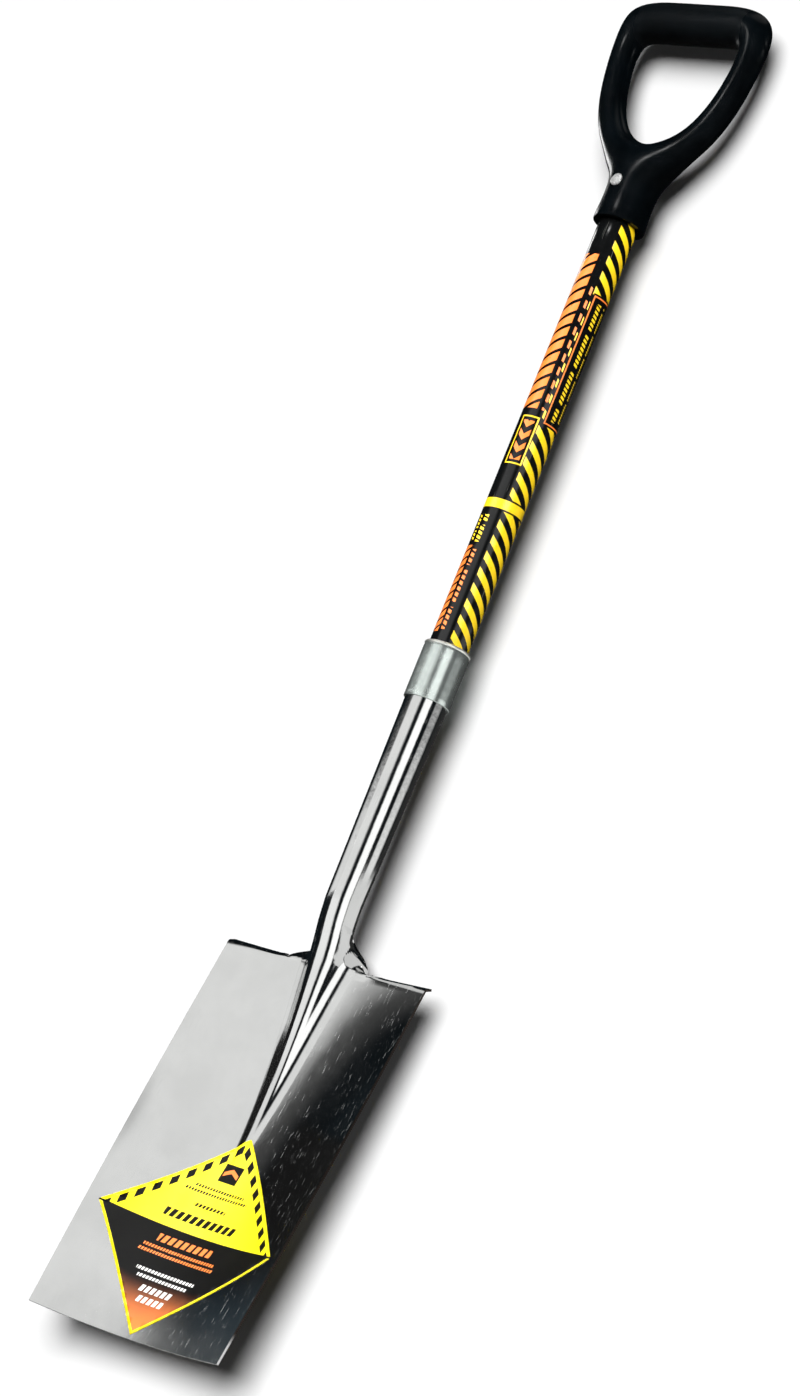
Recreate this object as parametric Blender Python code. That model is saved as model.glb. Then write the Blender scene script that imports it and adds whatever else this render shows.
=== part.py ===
"""A D-handled garden spade, hanging upright from its grip.

Frame: metres, +Z up. The origin is on the underside of the grip's bar, midway along it,
where a hook carries the spade. The handle's axis runs straight down from there along -Z.
The front of the blade, its hollow side, faces -Y, and +X is across the blade.

The blade, its ridge, its neck and its socket are one pressed steel sheet. The script draws
the flat blank as a grid of rows and columns and forms it: a row is one station along the
sheet, and a column is a distance out from the sheet's middle line.
"""

import math

import bmesh
import bpy
import numpy as np
from mathutils import Matrix, Vector

# Clearances
FIT_GAP = 0.0003
SHEET_GAP = 0.0003

# Handle tube, round fibreglass
TUBE_RADIUS = 0.0143
TUBE_WALL = 0.0034
TUBE_INTO_GRIP = 0.056
TUBE_THIN_WALL = 0.0009
TUBE_INTO_SOCKET = 0.090
TUBE_VISIBLE = 0.352

# Printed film shrunk on the tube
WRAP_THICKNESS = 0.0004
WRAP_INTO_GRIP = 0.012
WRAP_INTO_COLLAR = 0.010

# Solid rod inside the tube's lower end, and the plug inside its upper end
CORE_LENGTH = 0.190
PLUG_LENGTH = 0.070
ROD_CHAMFER = 0.0015

# Steel collar over the top of the socket
COLLAR_LENGTH = 0.0445
COLLAR_WALL = 0.0010
COLLAR_RIM = 0.0030

# Blade sheet
SHEET = 0.0018
BLADE_LENGTH = 0.302
BLADE_TOP_WIDTH = 0.184
BLADE_EDGE_WIDTH = 0.176
BLADE_SIDE_SWELL = 0.0015
BLADE_LIFT = math.radians(11.0)
BLADE_SETBACK = 0.0038
DISH_AT_STEP = 0.0040
DISH_DEEPEST = 0.0200
DISH_AT_EDGE = 0.0115
DISH_DEEPEST_AT = 0.145

# Steps, the top edges turned back for the foot
STEP_WIDTH = 0.0086
STEP_TURN = math.radians(58.0)
STEP_BEND_RADIUS = 0.0028

# Ridge down the middle of the blade
RIDGE_LENGTH = 0.185
RIDGE_HEIGHT = 0.0168
RIDGE_HALF_WIDTH = 0.0250
RIDGE_TIP_HALF_WIDTH = 0.0020
RIDGE_FALL = 1.9
RIDGE_NARROWING = 0.60
RIDGE_CREST_SHARE_AT_NECK = 0.50
RIDGE_CREST_SHARE = 0.34

# Neck and socket
NECK_LENGTH = 0.046
NECK_FILLET = 0.024
NECK_HALF_WIDTH = 0.049
NECK_RELAXING = 6
SOCKET_NECK_RADIUS = 0.0140
SOCKET_LENGTH = 0.160
SOCKET_IN_COLLAR = 0.016
SEAM_GAP = 0.0016

# Label stuck on the blade, a square set on its corner
LABEL_DIAGONAL = 0.1640
LABEL_THICKNESS = 0.0003
LABEL_TOP_FROM_STEP = 0.1350
LABEL_ASIDE = 0.0012
LABEL_TURN = math.radians(1.5)

# Moulded D-shaped grip
BAR_RADIUS = 0.0163
GRIP_TO_LIP = 0.1593
GRIP_HALF_WIDTH = 0.0672
GRIP_LEG_HALF_WIDTH = 0.0096
GRIP_LEG_HALF_DEPTH = 0.0112
HAND_HOLE_DEPTH = 0.0870
FERRULE_RADIUS = 0.0194
FERRULE_LIP_RADIUS = 0.0202
FERRULE_LIP_HEIGHT = 0.009
YOKE_SPREAD = 1.60

# What one round of smoothing leaves of the radius of a ring of eight or twelve corners
RING_8_SHARE = 0.925
RING_12_SHARE = 0.966

# Rivet through the grip, tube and plug, front to back
RIVET_BELOW_BAR = 0.1298
RIVET_TURN = math.radians(-8.0)
RIVET_RADIUS = 0.0024
RIVET_HEAD_RADIUS = 0.0052
RIVET_HEAD_HEIGHT = 0.0019

# Heights that follow from the lengths above
LIP_Z = -GRIP_TO_LIP
COLLAR_TOP_Z = LIP_Z - TUBE_VISIBLE
COLLAR_BOTTOM_Z = COLLAR_TOP_Z - COLLAR_LENGTH
SOCKET_TOP_Z = COLLAR_BOTTOM_Z + SOCKET_IN_COLLAR
BLADE_TOP_Z = COLLAR_BOTTOM_Z - SOCKET_LENGTH - NECK_LENGTH
TUBE_TOP_Z = LIP_Z + TUBE_INTO_GRIP
TUBE_BOTTOM_Z = SOCKET_TOP_Z - TUBE_INTO_SOCKET
WRAP_TOP_Z = LIP_Z + WRAP_INTO_GRIP
WRAP_BOTTOM_Z = COLLAR_TOP_Z - WRAP_INTO_COLLAR
WRAP_RADIUS = TUBE_RADIUS + FIT_GAP + WRAP_THICKNESS
SOCKET_TOP_RADIUS = TUBE_RADIUS + FIT_GAP + SHEET
RIVET_Z = -RIVET_BELOW_BAR

ROUND_STEPS = 40


def smooth_step(value):
    """Ease from 0 to 1 as value runs from 0 to 1."""
    t = min(max(value, 0.0), 1.0)
    return t * t * (3.0 - 2.0 * t)


def clear_scene():
    for old in list(bpy.data.objects):
        bpy.data.objects.remove(old, do_unlink=True)


def plain_material(name, colour, roughness, metallic):
    material = bpy.data.materials.new(name)
    material.use_nodes = True
    shader = material.node_tree.nodes["Principled BSDF"]
    shader.inputs["Base Color"].default_value = (*colour, 1.0)
    shader.inputs["Roughness"].default_value = roughness
    shader.inputs["Metallic"].default_value = metallic
    material.diffuse_color = (*colour, 1.0)
    return material


def add_object(name, mesh_source, material, sharp_degrees=40.0):
    """Turn a bmesh into a named, smooth-shaded object."""
    mesh = bpy.data.meshes.new(name)
    mesh_source.to_mesh(mesh)
    mesh_source.free()
    mesh.shade_smooth()
    mesh.set_sharp_from_angle(angle=math.radians(sharp_degrees))
    thing = bpy.data.objects.new(name, mesh)
    bpy.context.scene.collection.objects.link(thing)
    if material is not None:
        mesh.materials.append(material)
    return thing


def turned_ring(profile, steps=ROUND_STEPS):
    """Turn a closed profile of (radius, height) points, none on the axis, about Z."""
    shape = bmesh.new()
    rings = []
    for step in range(steps):
        angle = 2.0 * math.pi * step / steps
        rings.append([
            shape.verts.new((r * math.cos(angle), r * math.sin(angle), z)) for r, z in profile
        ])
    count = len(profile)
    for step in range(steps):
        here = rings[step]
        there = rings[(step + 1) % steps]
        for k in range(count):
            n = (k + 1) % count
            shape.faces.new((here[k], there[k], there[n], here[n]))
    bmesh.ops.recalc_face_normals(shape, faces=shape.faces)
    return shape


def turned_solid(profile, steps=ROUND_STEPS):
    """Turn an open profile of (radius, height) points about Z and cap its flat ends."""
    shape = bmesh.new()
    rings = []
    for r, z in profile:
        ring = []
        for step in range(steps):
            angle = 2.0 * math.pi * step / steps
            ring.append(shape.verts.new((r * math.cos(angle), r * math.sin(angle), z)))
        rings.append(ring)
    for low, high in zip(rings, rings[1:]):
        for step in range(steps):
            n = (step + 1) % steps
            shape.faces.new((low[step], low[n], high[n], high[step]))
    shape.faces.new(rings[0])
    shape.faces.new(rings[-1])
    bmesh.ops.recalc_face_normals(shape, faces=shape.faces)
    return shape


def cut_away(target, cutter, name):
    """Subtract a hidden cutter from the target."""
    cutter.hide_render = True
    cutter.display_type = "WIRE"
    cut = target.modifiers.new(name, "BOOLEAN")
    cut.operation = "DIFFERENCE"
    cut.solver = "EXACT"
    cut.object = cutter


def place_on_rivet_axis(shape):
    """Lay a shape drawn about Z on the rivet's axis."""
    turn = Matrix.Rotation(RIVET_TURN, 3, "Z") @ Matrix.Rotation(math.pi / 2.0, 3, "X")
    bmesh.ops.rotate(shape, verts=shape.verts, matrix=turn)
    bmesh.ops.translate(shape, verts=shape.verts, vec=(0.0, 0.0, RIVET_Z))


def rivet_hole(target, reach):
    """Drill the rivet's clearance hole through the target, front to back."""
    radius = RIVET_RADIUS + FIT_GAP
    shape = turned_solid([(radius, -reach), (radius, reach)], 20)
    place_on_rivet_axis(shape)
    cutter = add_object(target.name + "_rivet_cutter", shape, None)
    cut_away(target, cutter, "rivet hole")


# The pressed sheet


def dish_depth(station):
    """Depth of the blade's hollow behind the plane of its corners, at its middle."""
    if station <= DISH_DEEPEST_AT:
        share = smooth_step(0.5 + 0.5 * station / DISH_DEEPEST_AT)
        share = 2.0 * share - 1.0
        return DISH_AT_STEP + (DISH_DEEPEST - DISH_AT_STEP) * share
    share = (station - DISH_DEEPEST_AT) / (BLADE_LENGTH - DISH_DEEPEST_AT)
    return DISH_DEEPEST + (DISH_AT_EDGE - DISH_DEEPEST) * smooth_step(share)


def blade_half_width(station):
    share = min(max(station / BLADE_LENGTH, 0.0), 1.0)
    straight = BLADE_TOP_WIDTH + (BLADE_EDGE_WIDTH - BLADE_TOP_WIDTH) * share
    return 0.5 * straight + BLADE_SIDE_SWELL * math.sin(math.pi * share)


def ridge_height(station):
    return RIDGE_HEIGHT * max(1.0 - station / RIDGE_LENGTH, 0.0) ** RIDGE_FALL


def ridge_half_width(station):
    share = (ridge_height(station) / RIDGE_HEIGHT) ** RIDGE_NARROWING
    return RIDGE_TIP_HALF_WIDTH + (RIDGE_HALF_WIDTH - RIDGE_TIP_HALF_WIDTH) * share


def crest_share(station):
    """Share of the ridge's two radii that belongs to its crest: tube-like at the neck."""
    fade = math.exp(-station / NECK_LENGTH)
    return RIDGE_CREST_SHARE + (RIDGE_CREST_SHARE_AT_NECK - RIDGE_CREST_SHARE) * fade


def neck_share(station):
    """0 at the top of the blade, 1 where the neck has closed into the socket."""
    return smooth_step(-station / NECK_LENGTH)


def tube_radius(station):
    """Outer radius of the rolled socket, above the neck."""
    rise = max(-station - NECK_LENGTH, 0.0)
    full = SOCKET_LENGTH + SOCKET_IN_COLLAR
    return SOCKET_NECK_RADIUS + (SOCKET_TOP_RADIUS - SOCKET_NECK_RADIUS) * rise / full


def cross_section(station):
    """The crest's and the foot's radius, and the slopes where the crest and the foot end."""
    height = ridge_height(max(station, 0.0))
    half = ridge_half_width(max(station, 0.0))
    turn = 2.0 * math.atan2(max(height, 0.00002), half)
    both = half / math.sin(turn)
    crest = both * crest_share(max(station, 0.0))
    foot = both - crest
    if station >= 0.0:
        return crest, foot, turn, 0.0
    share = neck_share(station)
    crest += (tube_radius(station) - crest) * share
    turn += (math.pi - turn) * share
    return crest, foot, turn, turn * smooth_step(2.0 * share)


def crest_offset(station):
    """How far the crest of the sheet stands in front of the sheet's spine."""
    if station >= 0.0:
        return ridge_height(station) - dish_depth(station)
    nudge = 0.001
    on_blade = crest_offset(0.0)
    slope = (crest_offset(0.0) - crest_offset(nudge)) / nudge
    on_socket = SOCKET_TOP_RADIUS + spine_point(-NECK_LENGTH)[0]
    t = min(-station / NECK_LENGTH, 1.0)
    return on_blade + (on_socket - on_blade) * smooth_step(t) + slope * NECK_LENGTH * t * (1.0 - t) ** 2


def spine_turn(station):
    """Angle between the sheet's spine and the handle's axis."""
    return BLADE_LIFT * (1.0 - smooth_step(-station / NECK_LENGTH))


def spine_point(station):
    """Place of the spine in the YZ plane. It is straight down the blade and up the socket."""
    if station >= 0.0:
        return (
            BLADE_SETBACK - station * math.sin(BLADE_LIFT),
            BLADE_TOP_Z - station * math.cos(BLADE_LIFT),
        )
    bent = max(station, -NECK_LENGTH)
    steps = 24
    y, z = BLADE_SETBACK, BLADE_TOP_Z
    for k in range(steps):
        angle = spine_turn(bent * (k + 0.5) / steps)
        y -= math.sin(angle) * bent / steps
        z -= math.cos(angle) * bent / steps
    return y, z - min(station + NECK_LENGTH, 0.0)


def sheet_point(station, out, lift=0.0):
    """Front surface of the sheet at a station and a distance out along its section.

    lift raises the point off the front, for what is stuck on it.
    """
    crest, foot, turn, end = cross_section(station)
    side = math.copysign(1.0, out)
    run = abs(out)
    angle = min(run / crest, turn)
    x = crest * math.sin(angle)
    back = crest * (1.0 - math.cos(angle))
    run -= crest * turn
    if run > 0.0:
        angle = max(turn - run / foot, end)
        x += foot * (math.sin(turn) - math.sin(angle))
        back += foot * (math.cos(angle) - math.cos(turn))
        run -= foot * (turn - end)
    if run > 0.0:
        x += run * math.cos(end)
        back += run * math.sin(end)
    half = 0.5 * BLADE_TOP_WIDTH if station < 0.0 else blade_half_width(station)
    dish = dish_depth(max(station, 0.0)) * (1.0 - neck_share(station))
    front = crest_offset(station) - back + dish * (x / half) ** 2 + lift
    angle = spine_turn(station)
    y, z = spine_point(station)
    return Vector((side * x, y - math.cos(angle) * front, z + math.sin(angle) * front))


def out_at(station, x):
    """Distance out along a section of the blade of a point that lies x from its middle."""
    crest, foot, turn, _ = cross_section(station)
    if x <= crest * math.sin(turn):
        return crest * math.asin(x / crest)
    half = (crest + foot) * math.sin(turn)
    if x <= half:
        return crest * turn + foot * (turn - math.asin((half - x) / foot))
    return (crest + foot) * turn + x - half


def neck_reach(station):
    """How far out the middle columns reach: to the step's inner end, or the sheet's edge."""
    if station >= -STEP_WIDTH:
        return out_at(max(station, 0.0), NECK_HALF_WIDTH)
    seam = math.pi * tube_radius(station) - 0.5 * SEAM_GAP
    start = out_at(0.0, NECK_HALF_WIDTH)
    fall = min((-station - STEP_WIDTH) / NECK_FILLET, 1.0)
    arc = 1.0 - math.sqrt(max(1.0 - (1.0 - fall) ** 2, 0.0))
    return seam + (start - seam) * arc


def step_point(station, out):
    """Front of the step, which turns back about the line at the top of the blade."""
    base = sheet_point(0.0, out)
    length = -station
    turn = min(length / STEP_BEND_RADIUS, STEP_TURN)
    straight = length - turn * STEP_BEND_RADIUS
    up = STEP_BEND_RADIUS * math.sin(turn) + straight * math.cos(turn)
    back = STEP_BEND_RADIUS * (1.0 - math.cos(turn)) + straight * math.sin(turn)
    along = Vector((0.0, math.sin(BLADE_LIFT), math.cos(BLADE_LIFT)))
    behind = Vector((0.0, math.cos(BLADE_LIFT), -math.sin(BLADE_LIFT)))
    return base + along * up + behind * back


def formed_point(station, out):
    """A point of the formed sheet, neck, step and all."""
    if station >= 0.0:
        return sheet_point(station, out)
    inner = out_at(0.0, RIDGE_HALF_WIDTH)
    outer = out_at(0.0, NECK_HALF_WIDTH)
    share = smooth_step((abs(out) - 0.8 * inner) / (outer - 0.8 * inner))
    if station < -STEP_WIDTH:
        share *= 1.0 - smooth_step((-station - STEP_WIDTH) / (0.6 * NECK_FILLET))
    if share == 0.0:
        return sheet_point(station, out)
    return sheet_point(station, out).lerp(step_point(station, out), share)


def relax_neck(rows, stations):
    """Even out the sheet between the step and the socket, as pressing does."""
    for _ in range(NECK_RELAXING):
        moved = []
        for r, station in enumerate(stations):
            if not -0.95 * NECK_LENGTH < station < -0.5 * STEP_WIDTH:
                continue
            last = max(rows[r])
            for k, vert in rows[r].items():
                near = [rows[r + 1].get(k), rows[r - 1].get(k)]
                if None in near:
                    continue
                if abs(k) != last:
                    near += [rows[r][k - 1], rows[r][k + 1]]
                target = sum((v.co for v in near), Vector()) / len(near)
                moved.append((vert, vert.co.lerp(target, 0.5)))
        for vert, place in moved:
            vert.co = place


def sheet_stations():
    """Rows of the blank, from the cutting edge up to the socket's mouth."""
    rows = list(np.linspace(BLADE_LENGTH, RIDGE_LENGTH, 8)[:-1])
    rows += list(np.linspace(RIDGE_LENGTH, 0.0, 14))
    rows += [-0.35 * STEP_WIDTH, -STEP_WIDTH]
    fillet_end = STEP_WIDTH + NECK_FILLET
    for k in range(1, 7):
        rows.append(-STEP_WIDTH - NECK_FILLET * (1.0 - math.cos(0.5 * math.pi * k / 6.0)))
    full = NECK_LENGTH + SOCKET_LENGTH + SOCKET_IN_COLLAR
    rows += [-s for s in np.linspace(fillet_end, full, 6)[1:]]
    return rows


def formed_sheet():
    """Front surface of the whole sheet, its faces turned to the front."""
    middle = 15
    outer = 4
    shape = bmesh.new()
    rows = []
    stations = sheet_stations()
    for station in stations:
        reach = neck_reach(station)
        outs = [reach * k / middle for k in range(middle + 1)]
        if station >= -STEP_WIDTH:
            edge = out_at(max(station, 0.0), blade_half_width(station))
            outs += [reach + (edge - reach) * k / outer for k in range(1, outer + 1)]
        row = {}
        for k, out in enumerate(outs):
            row[k] = shape.verts.new(formed_point(station, out))
            if k:
                row[-k] = shape.verts.new(formed_point(station, -out))
        rows.append(row)
    relax_neck(rows, stations)
    for low, high in zip(rows, rows[1:]):
        for k in range(-middle - outer, middle + outer):
            corners = [low.get(k), low.get(k + 1), high.get(k + 1), high.get(k)]
            if None not in corners:
                shape.faces.new(corners)
    shape.normal_update()
    return shape


def thickened(thing, name, thickness, offset):
    """Give a sheet its thickness, towards its front where offset is 1, its back where -1."""
    shape = bmesh.new()
    shape.from_mesh(thing.data)
    for edge in shape.edges:
        if edge.is_boundary:
            edge.smooth = False
    shape.to_mesh(thing.data)
    shape.free()
    thicken = thing.modifiers.new(name, "SOLIDIFY")
    thicken.thickness = thickness
    thicken.offset = offset
    thicken.use_even_offset = True
    thicken.use_rim = True
    return thing


def make_blade(material):
    """The blade, ridge, neck and socket: one sheet, formed and given its thickness."""
    blade = add_object("blade", formed_sheet(), material, 55.0)
    return thickened(blade, "sheet thickness", SHEET, -1.0)


def make_label(material):
    """A thin square label on its corner, trimmed from the blade's own front surface."""
    half = 0.5 * LABEL_DIAGONAL
    shape = formed_sheet()
    centre = sheet_point(LABEL_TOP_FROM_STEP + half, out_at(LABEL_TOP_FROM_STEP + half, LABEL_ASIDE))
    down = Vector((0.0, -math.sin(BLADE_LIFT), -math.cos(BLADE_LIFT)))
    across = Vector((1.0, 0.0, 0.0))
    for side in range(4):
        angle = LABEL_TURN + math.radians(45.0 + 90.0 * side)
        outward = across * math.cos(angle) + down * math.sin(angle)
        bmesh.ops.bisect_plane(
            shape,
            geom=shape.verts[:] + shape.edges[:] + shape.faces[:],
            dist=0.0001,
            plane_co=centre + outward * half * math.sqrt(0.5),
            plane_no=outward,
            clear_outer=True,
        )
    shape.normal_update()
    for vert, place in [(v, v.co + v.normal * SHEET_GAP) for v in shape.verts]:
        vert.co = place
    label = add_object("blade_label", shape, material)
    return thickened(label, "label thickness", LABEL_THICKNESS, 1.0)


# Handle and collar


def socket_bore(z):
    """Inner radius of the rolled socket at a height, and how far forward its middle lies."""
    station = -(z - spine_point(-NECK_LENGTH)[1]) - NECK_LENGTH
    radius = tube_radius(station)
    return radius - SHEET, SOCKET_TOP_RADIUS - radius


def make_tube(material):
    """The hollow handle. Its lower end is cut away behind to seat in the socket."""
    end_radius, forward = socket_bore(TUBE_BOTTOM_Z)
    end_radius -= FIT_GAP
    bore = tube_bore()
    profile = [
        (TUBE_RADIUS, TUBE_TOP_Z),
        (TUBE_RADIUS, SOCKET_TOP_Z),
        (end_radius, TUBE_BOTTOM_Z),
        (bore, TUBE_BOTTOM_Z),
        (bore, TUBE_TOP_Z),
    ]
    shape = turned_ring(profile)
    between = 0.5 * (end_radius + bore)
    for vert in shape.verts:
        if vert.co.z < TUBE_BOTTOM_Z + FIT_GAP and vert.co.xy.length > between:
            vert.co.y -= forward
    tube = add_object("handle_tube", shape, material)
    rivet_hole(tube, 2.0 * TUBE_RADIUS)
    return tube


def tube_bore():
    """Radius of the handle's bore, which leaves it a wall behind at its lower end."""
    end_radius, forward = socket_bore(TUBE_BOTTOM_Z)
    return min(TUBE_RADIUS - TUBE_WALL, end_radius - FIT_GAP - forward - TUBE_THIN_WALL)


def make_wrap(material):
    """The printed film round the handle, from inside the grip's lip to inside the collar."""
    inner = TUBE_RADIUS + FIT_GAP
    profile = [
        (WRAP_RADIUS, WRAP_BOTTOM_Z),
        (WRAP_RADIUS, WRAP_TOP_Z),
        (inner, WRAP_TOP_Z),
        (inner, WRAP_BOTTOM_Z),
    ]
    return add_object("handle_wrap", turned_ring(profile), material)


def make_core(material):
    """The solid rod that stiffens the tube's lower end."""
    bottom = TUBE_BOTTOM_Z
    radius = tube_bore() - FIT_GAP
    profile = [
        (radius - ROD_CHAMFER, bottom),
        (radius, bottom + ROD_CHAMFER),
        (radius, bottom + CORE_LENGTH),
    ]
    return add_object("core_rod", turned_solid(profile), material)


def make_plug(material):
    """The plug that backs the tube's wall where the rivet clamps it."""
    radius = tube_bore() - FIT_GAP
    bottom = TUBE_TOP_Z - PLUG_LENGTH
    profile = [
        (radius - ROD_CHAMFER, bottom),
        (radius, bottom + ROD_CHAMFER),
        (radius, TUBE_TOP_Z),
    ]
    plug = add_object("grip_plug", turned_solid(profile), material)
    rivet_hole(plug, 2.0 * TUBE_RADIUS)
    return plug


def make_collar(material):
    """The thin steel collar, straight over the socket's mouth, its top rim turned in."""
    inner = SOCKET_TOP_RADIUS + FIT_GAP
    throat = WRAP_RADIUS + FIT_GAP
    outer = inner + COLLAR_WALL
    profile = [(inner, COLLAR_BOTTOM_Z), (outer, COLLAR_BOTTOM_Z)]
    for k in range(4):
        angle = math.pi * k / 6.0
        profile.append((
            throat + (outer - throat) * math.cos(angle),
            COLLAR_TOP_Z - COLLAR_RIM * (1.0 - math.sin(angle)),
        ))
    profile.append((throat, COLLAR_TOP_Z - COLLAR_WALL))
    profile.append((inner, COLLAR_TOP_Z - COLLAR_RIM))
    return add_object("steel_collar", turned_ring(profile), material)


# Grip


def oval_ring(shape, inner, outer, half_depth):
    """Eight corners round a leg, from its inner side past its front, outer side and back.

    inner and outer are the (x, z) ends of the ring in the grip's plane.
    """
    centre = (Vector(inner) + Vector(outer)) * 0.5
    across = (Vector(outer) - Vector(inner)) * 0.5
    ring = []
    for k in range(8):
        angle = math.pi + k * math.pi / 4.0
        spread = centre + across * math.cos(angle)
        depth = half_depth * math.sin(angle)
        ring.append(shape.verts.new((spread.x, depth, spread.y)))
    return ring


def round_ring(shape, radius_x, radius_y, z, count=12):
    """Corners round the ferrule, from its front towards +X and on round."""
    ring = []
    for k in range(count):
        angle = -0.5 * math.pi + 2.0 * math.pi * k / count
        ring.append(shape.verts.new((radius_x * math.cos(angle), radius_y * math.sin(angle), z)))
    return ring


def mirrored(shape, ring):
    return [shape.verts.new((-v.co.x, v.co.y, v.co.z)) for v in ring]


def bridge(shape, one, other):
    count = len(one)
    for k in range(count):
        n = (k + 1) % count
        shape.faces.new((one[k], one[n], other[n], other[k]))


def grip_cage(ring_8_share, ring_12_share):
    """Cage of the grip, swollen by what smoothing leaves of its rings' radii."""
    bar = BAR_RADIUS / ring_8_share
    depth = GRIP_LEG_HALF_DEPTH / ring_8_share
    pad = GRIP_LEG_HALF_WIDTH * (1.0 / ring_8_share - 1.0)
    reach = GRIP_HALF_WIDTH
    inside = GRIP_HALF_WIDTH - 2.0 * GRIP_LEG_HALF_WIDTH
    hole = HAND_HOLE_DEPTH
    middle = BAR_RADIUS
    shape = bmesh.new()

    # Right half of the loop, from the bar's middle round the corner and down the leg
    rings = [
        ((0.0, middle - bar), (0.0, middle + bar), bar),
        ((0.56 * inside, middle - bar), (0.34 * reach, middle + bar), bar),
        ((0.84 * inside, middle - bar), (0.62 * reach, middle + 0.98 * bar), bar),
        ((0.985 * inside - pad, -0.19 * bar), (0.98 * reach + pad, middle + 0.60 * bar), 0.90 * bar),
        ((inside - pad, -0.17 * hole), (1.02 * reach + pad, -0.05 * hole), depth),
        ((0.95 * inside - pad, -0.38 * hole), (0.985 * reach + pad, -0.33 * hole), depth),
        ((0.85 * inside - pad, -0.61 * hole), (0.925 * reach + pad, -0.62 * hole), depth),
        ((0.63 * inside - pad, -0.845 * hole), (0.79 * reach + pad, -0.92 * hole), depth),
        ((0.32 * inside - pad, -0.985 * hole), (0.60 * reach + pad, -1.12 * hole), 1.08 * depth),
    ]
    right = []
    left = []
    for place, (inner, outer, half_depth) in enumerate(rings):
        ring = oval_ring(shape, inner, outer, half_depth)
        right.append(ring)
        left.append(ring if place == 0 else mirrored(shape, ring))

    # Yoke, whose front, back and saddle corners the two legs share
    ferrule = FERRULE_RADIUS / ring_12_share
    front = shape.verts.new((0.0, -0.93 * ferrule, -1.16 * hole))
    back = shape.verts.new((0.0, 0.93 * ferrule, -1.16 * hole))
    saddle = shape.verts.new((0.0, 0.0, -0.99 * hole))
    right_side = []
    left_side = []
    for k in range(1, 6):
        angle = -0.5 * math.pi + math.pi * k / 6.0
        x = YOKE_SPREAD * ferrule * math.cos(angle)
        y = 0.98 * ferrule * math.sin(angle)
        z = -(1.17 + 0.10 * math.cos(angle)) * hole
        right_side.append(shape.verts.new((x, y, z)))
        left_side.append(shape.verts.new((-x, y, z)))
    right.append([saddle, front, *right_side, back])
    left.append([saddle, front, *left_side, back])

    # Ferrule, straight down to its slightly flared lip
    lip = FERRULE_LIP_RADIUS / ring_12_share
    trunk = [[front, *right_side, back, *reversed(left_side)]]
    for radius_x, radius_y, z in [
        (1.13 * ferrule, ferrule, 0.5 * (RIVET_Z - 1.27 * hole)),
        (ferrule, ferrule, RIVET_Z),
        (ferrule, ferrule, LIP_Z + 1.6 * FERRULE_LIP_HEIGHT),
        (lip, lip, LIP_Z + 0.7 * FERRULE_LIP_HEIGHT),
        (lip, lip, LIP_Z),
    ]:
        trunk.append(round_ring(shape, radius_x, radius_y, z))
    for one, other in zip(right, right[1:]):
        bridge(shape, one, other)
    for one, other in zip(left, left[1:]):
        bridge(shape, other, one)
    for one, other in zip(trunk, trunk[1:]):
        bridge(shape, other, one)
    shape.faces.new(trunk[-1])
    bmesh.ops.recalc_face_normals(shape, faces=shape.faces)
    crease = shape.edges.layers.float.new("crease_edge")
    mouth = trunk[-1]
    for k, vert in enumerate(mouth):
        shape.edges.get((vert, mouth[(k + 1) % len(mouth)]))[crease] = 1.0
    return shape


def make_grip(material):
    """The moulded grip: its cage smoothed once, then bored for the tube."""
    grip = add_object("d_grip", grip_cage(RING_8_SHARE, RING_12_SHARE), material, 50.0)
    smooth = grip.modifiers.new("smooth moulding", "SUBSURF")
    smooth.levels = 1
    smooth.render_levels = 1
    bore = [
        (WRAP_RADIUS + FIT_GAP, LIP_Z - FERRULE_LIP_HEIGHT),
        (WRAP_RADIUS + FIT_GAP, WRAP_TOP_Z + FIT_GAP),
        (TUBE_RADIUS + FIT_GAP, WRAP_TOP_Z + FIT_GAP),
        (TUBE_RADIUS + FIT_GAP, TUBE_TOP_Z + FIT_GAP),
    ]
    cutter = add_object("grip_bore_cutter", turned_solid(bore), None)
    cut_away(grip, cutter, "tube bore")
    rivet_hole(grip, 2.0 * FERRULE_LIP_RADIUS)
    return grip


def make_rivet(material):
    """A headed rivet, front to back, its domes standing off the ferrule by the fit gap."""
    seat = FERRULE_RADIUS + FIT_GAP
    domes = []
    rings = 4
    for k in range(rings + 1):
        angle = 0.5 * math.pi * k / rings
        radius = RIVET_HEAD_RADIUS * math.cos(angle)
        domes.append((max(radius, 0.0004), seat + RIVET_HEAD_HEIGHT * (0.25 + 0.75 * math.sin(angle))))
    top = [(RIVET_RADIUS, seat), (RIVET_HEAD_RADIUS, seat)] + domes
    profile = [(r, -z) for r, z in reversed(top)] + top
    shape = turned_solid(profile, 20)
    place_on_rivet_axis(shape)
    return add_object("grip_rivet", shape, material)


def main():
    clear_scene()
    make_blade(plain_material("blade steel", (0.62, 0.63, 0.62), 0.28, 1.0))
    make_label(plain_material("label print", (0.90, 0.62, 0.02), 0.45, 0.0))
    make_tube(plain_material("fibreglass", (0.75, 0.55, 0.08), 0.45, 0.0))
    make_wrap(plain_material("printed film", (0.03, 0.03, 0.03), 0.30, 0.0))
    make_core(plain_material("core rod resin", (0.62, 0.57, 0.42), 0.55, 0.0))
    make_plug(plain_material("plug wood", (0.45, 0.30, 0.16), 0.70, 0.0))
    make_collar(plain_material("zinc collar", (0.55, 0.60, 0.58), 0.38, 1.0))
    make_grip(plain_material("black plastic", (0.010, 0.012, 0.013), 0.35, 0.0))
    make_rivet(plain_material("rivet steel", (0.80, 0.80, 0.79), 0.25, 1.0))


main()
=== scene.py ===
"""Looks of a D-handled garden spade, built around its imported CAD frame.

The frame's axes: metres, +Z up along the handle, the hollow front of the blade faces -Y.
Each operator builds one piece, and each piece rides on the one rigid body, "root".
"""

import math
from types import SimpleNamespace

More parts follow.
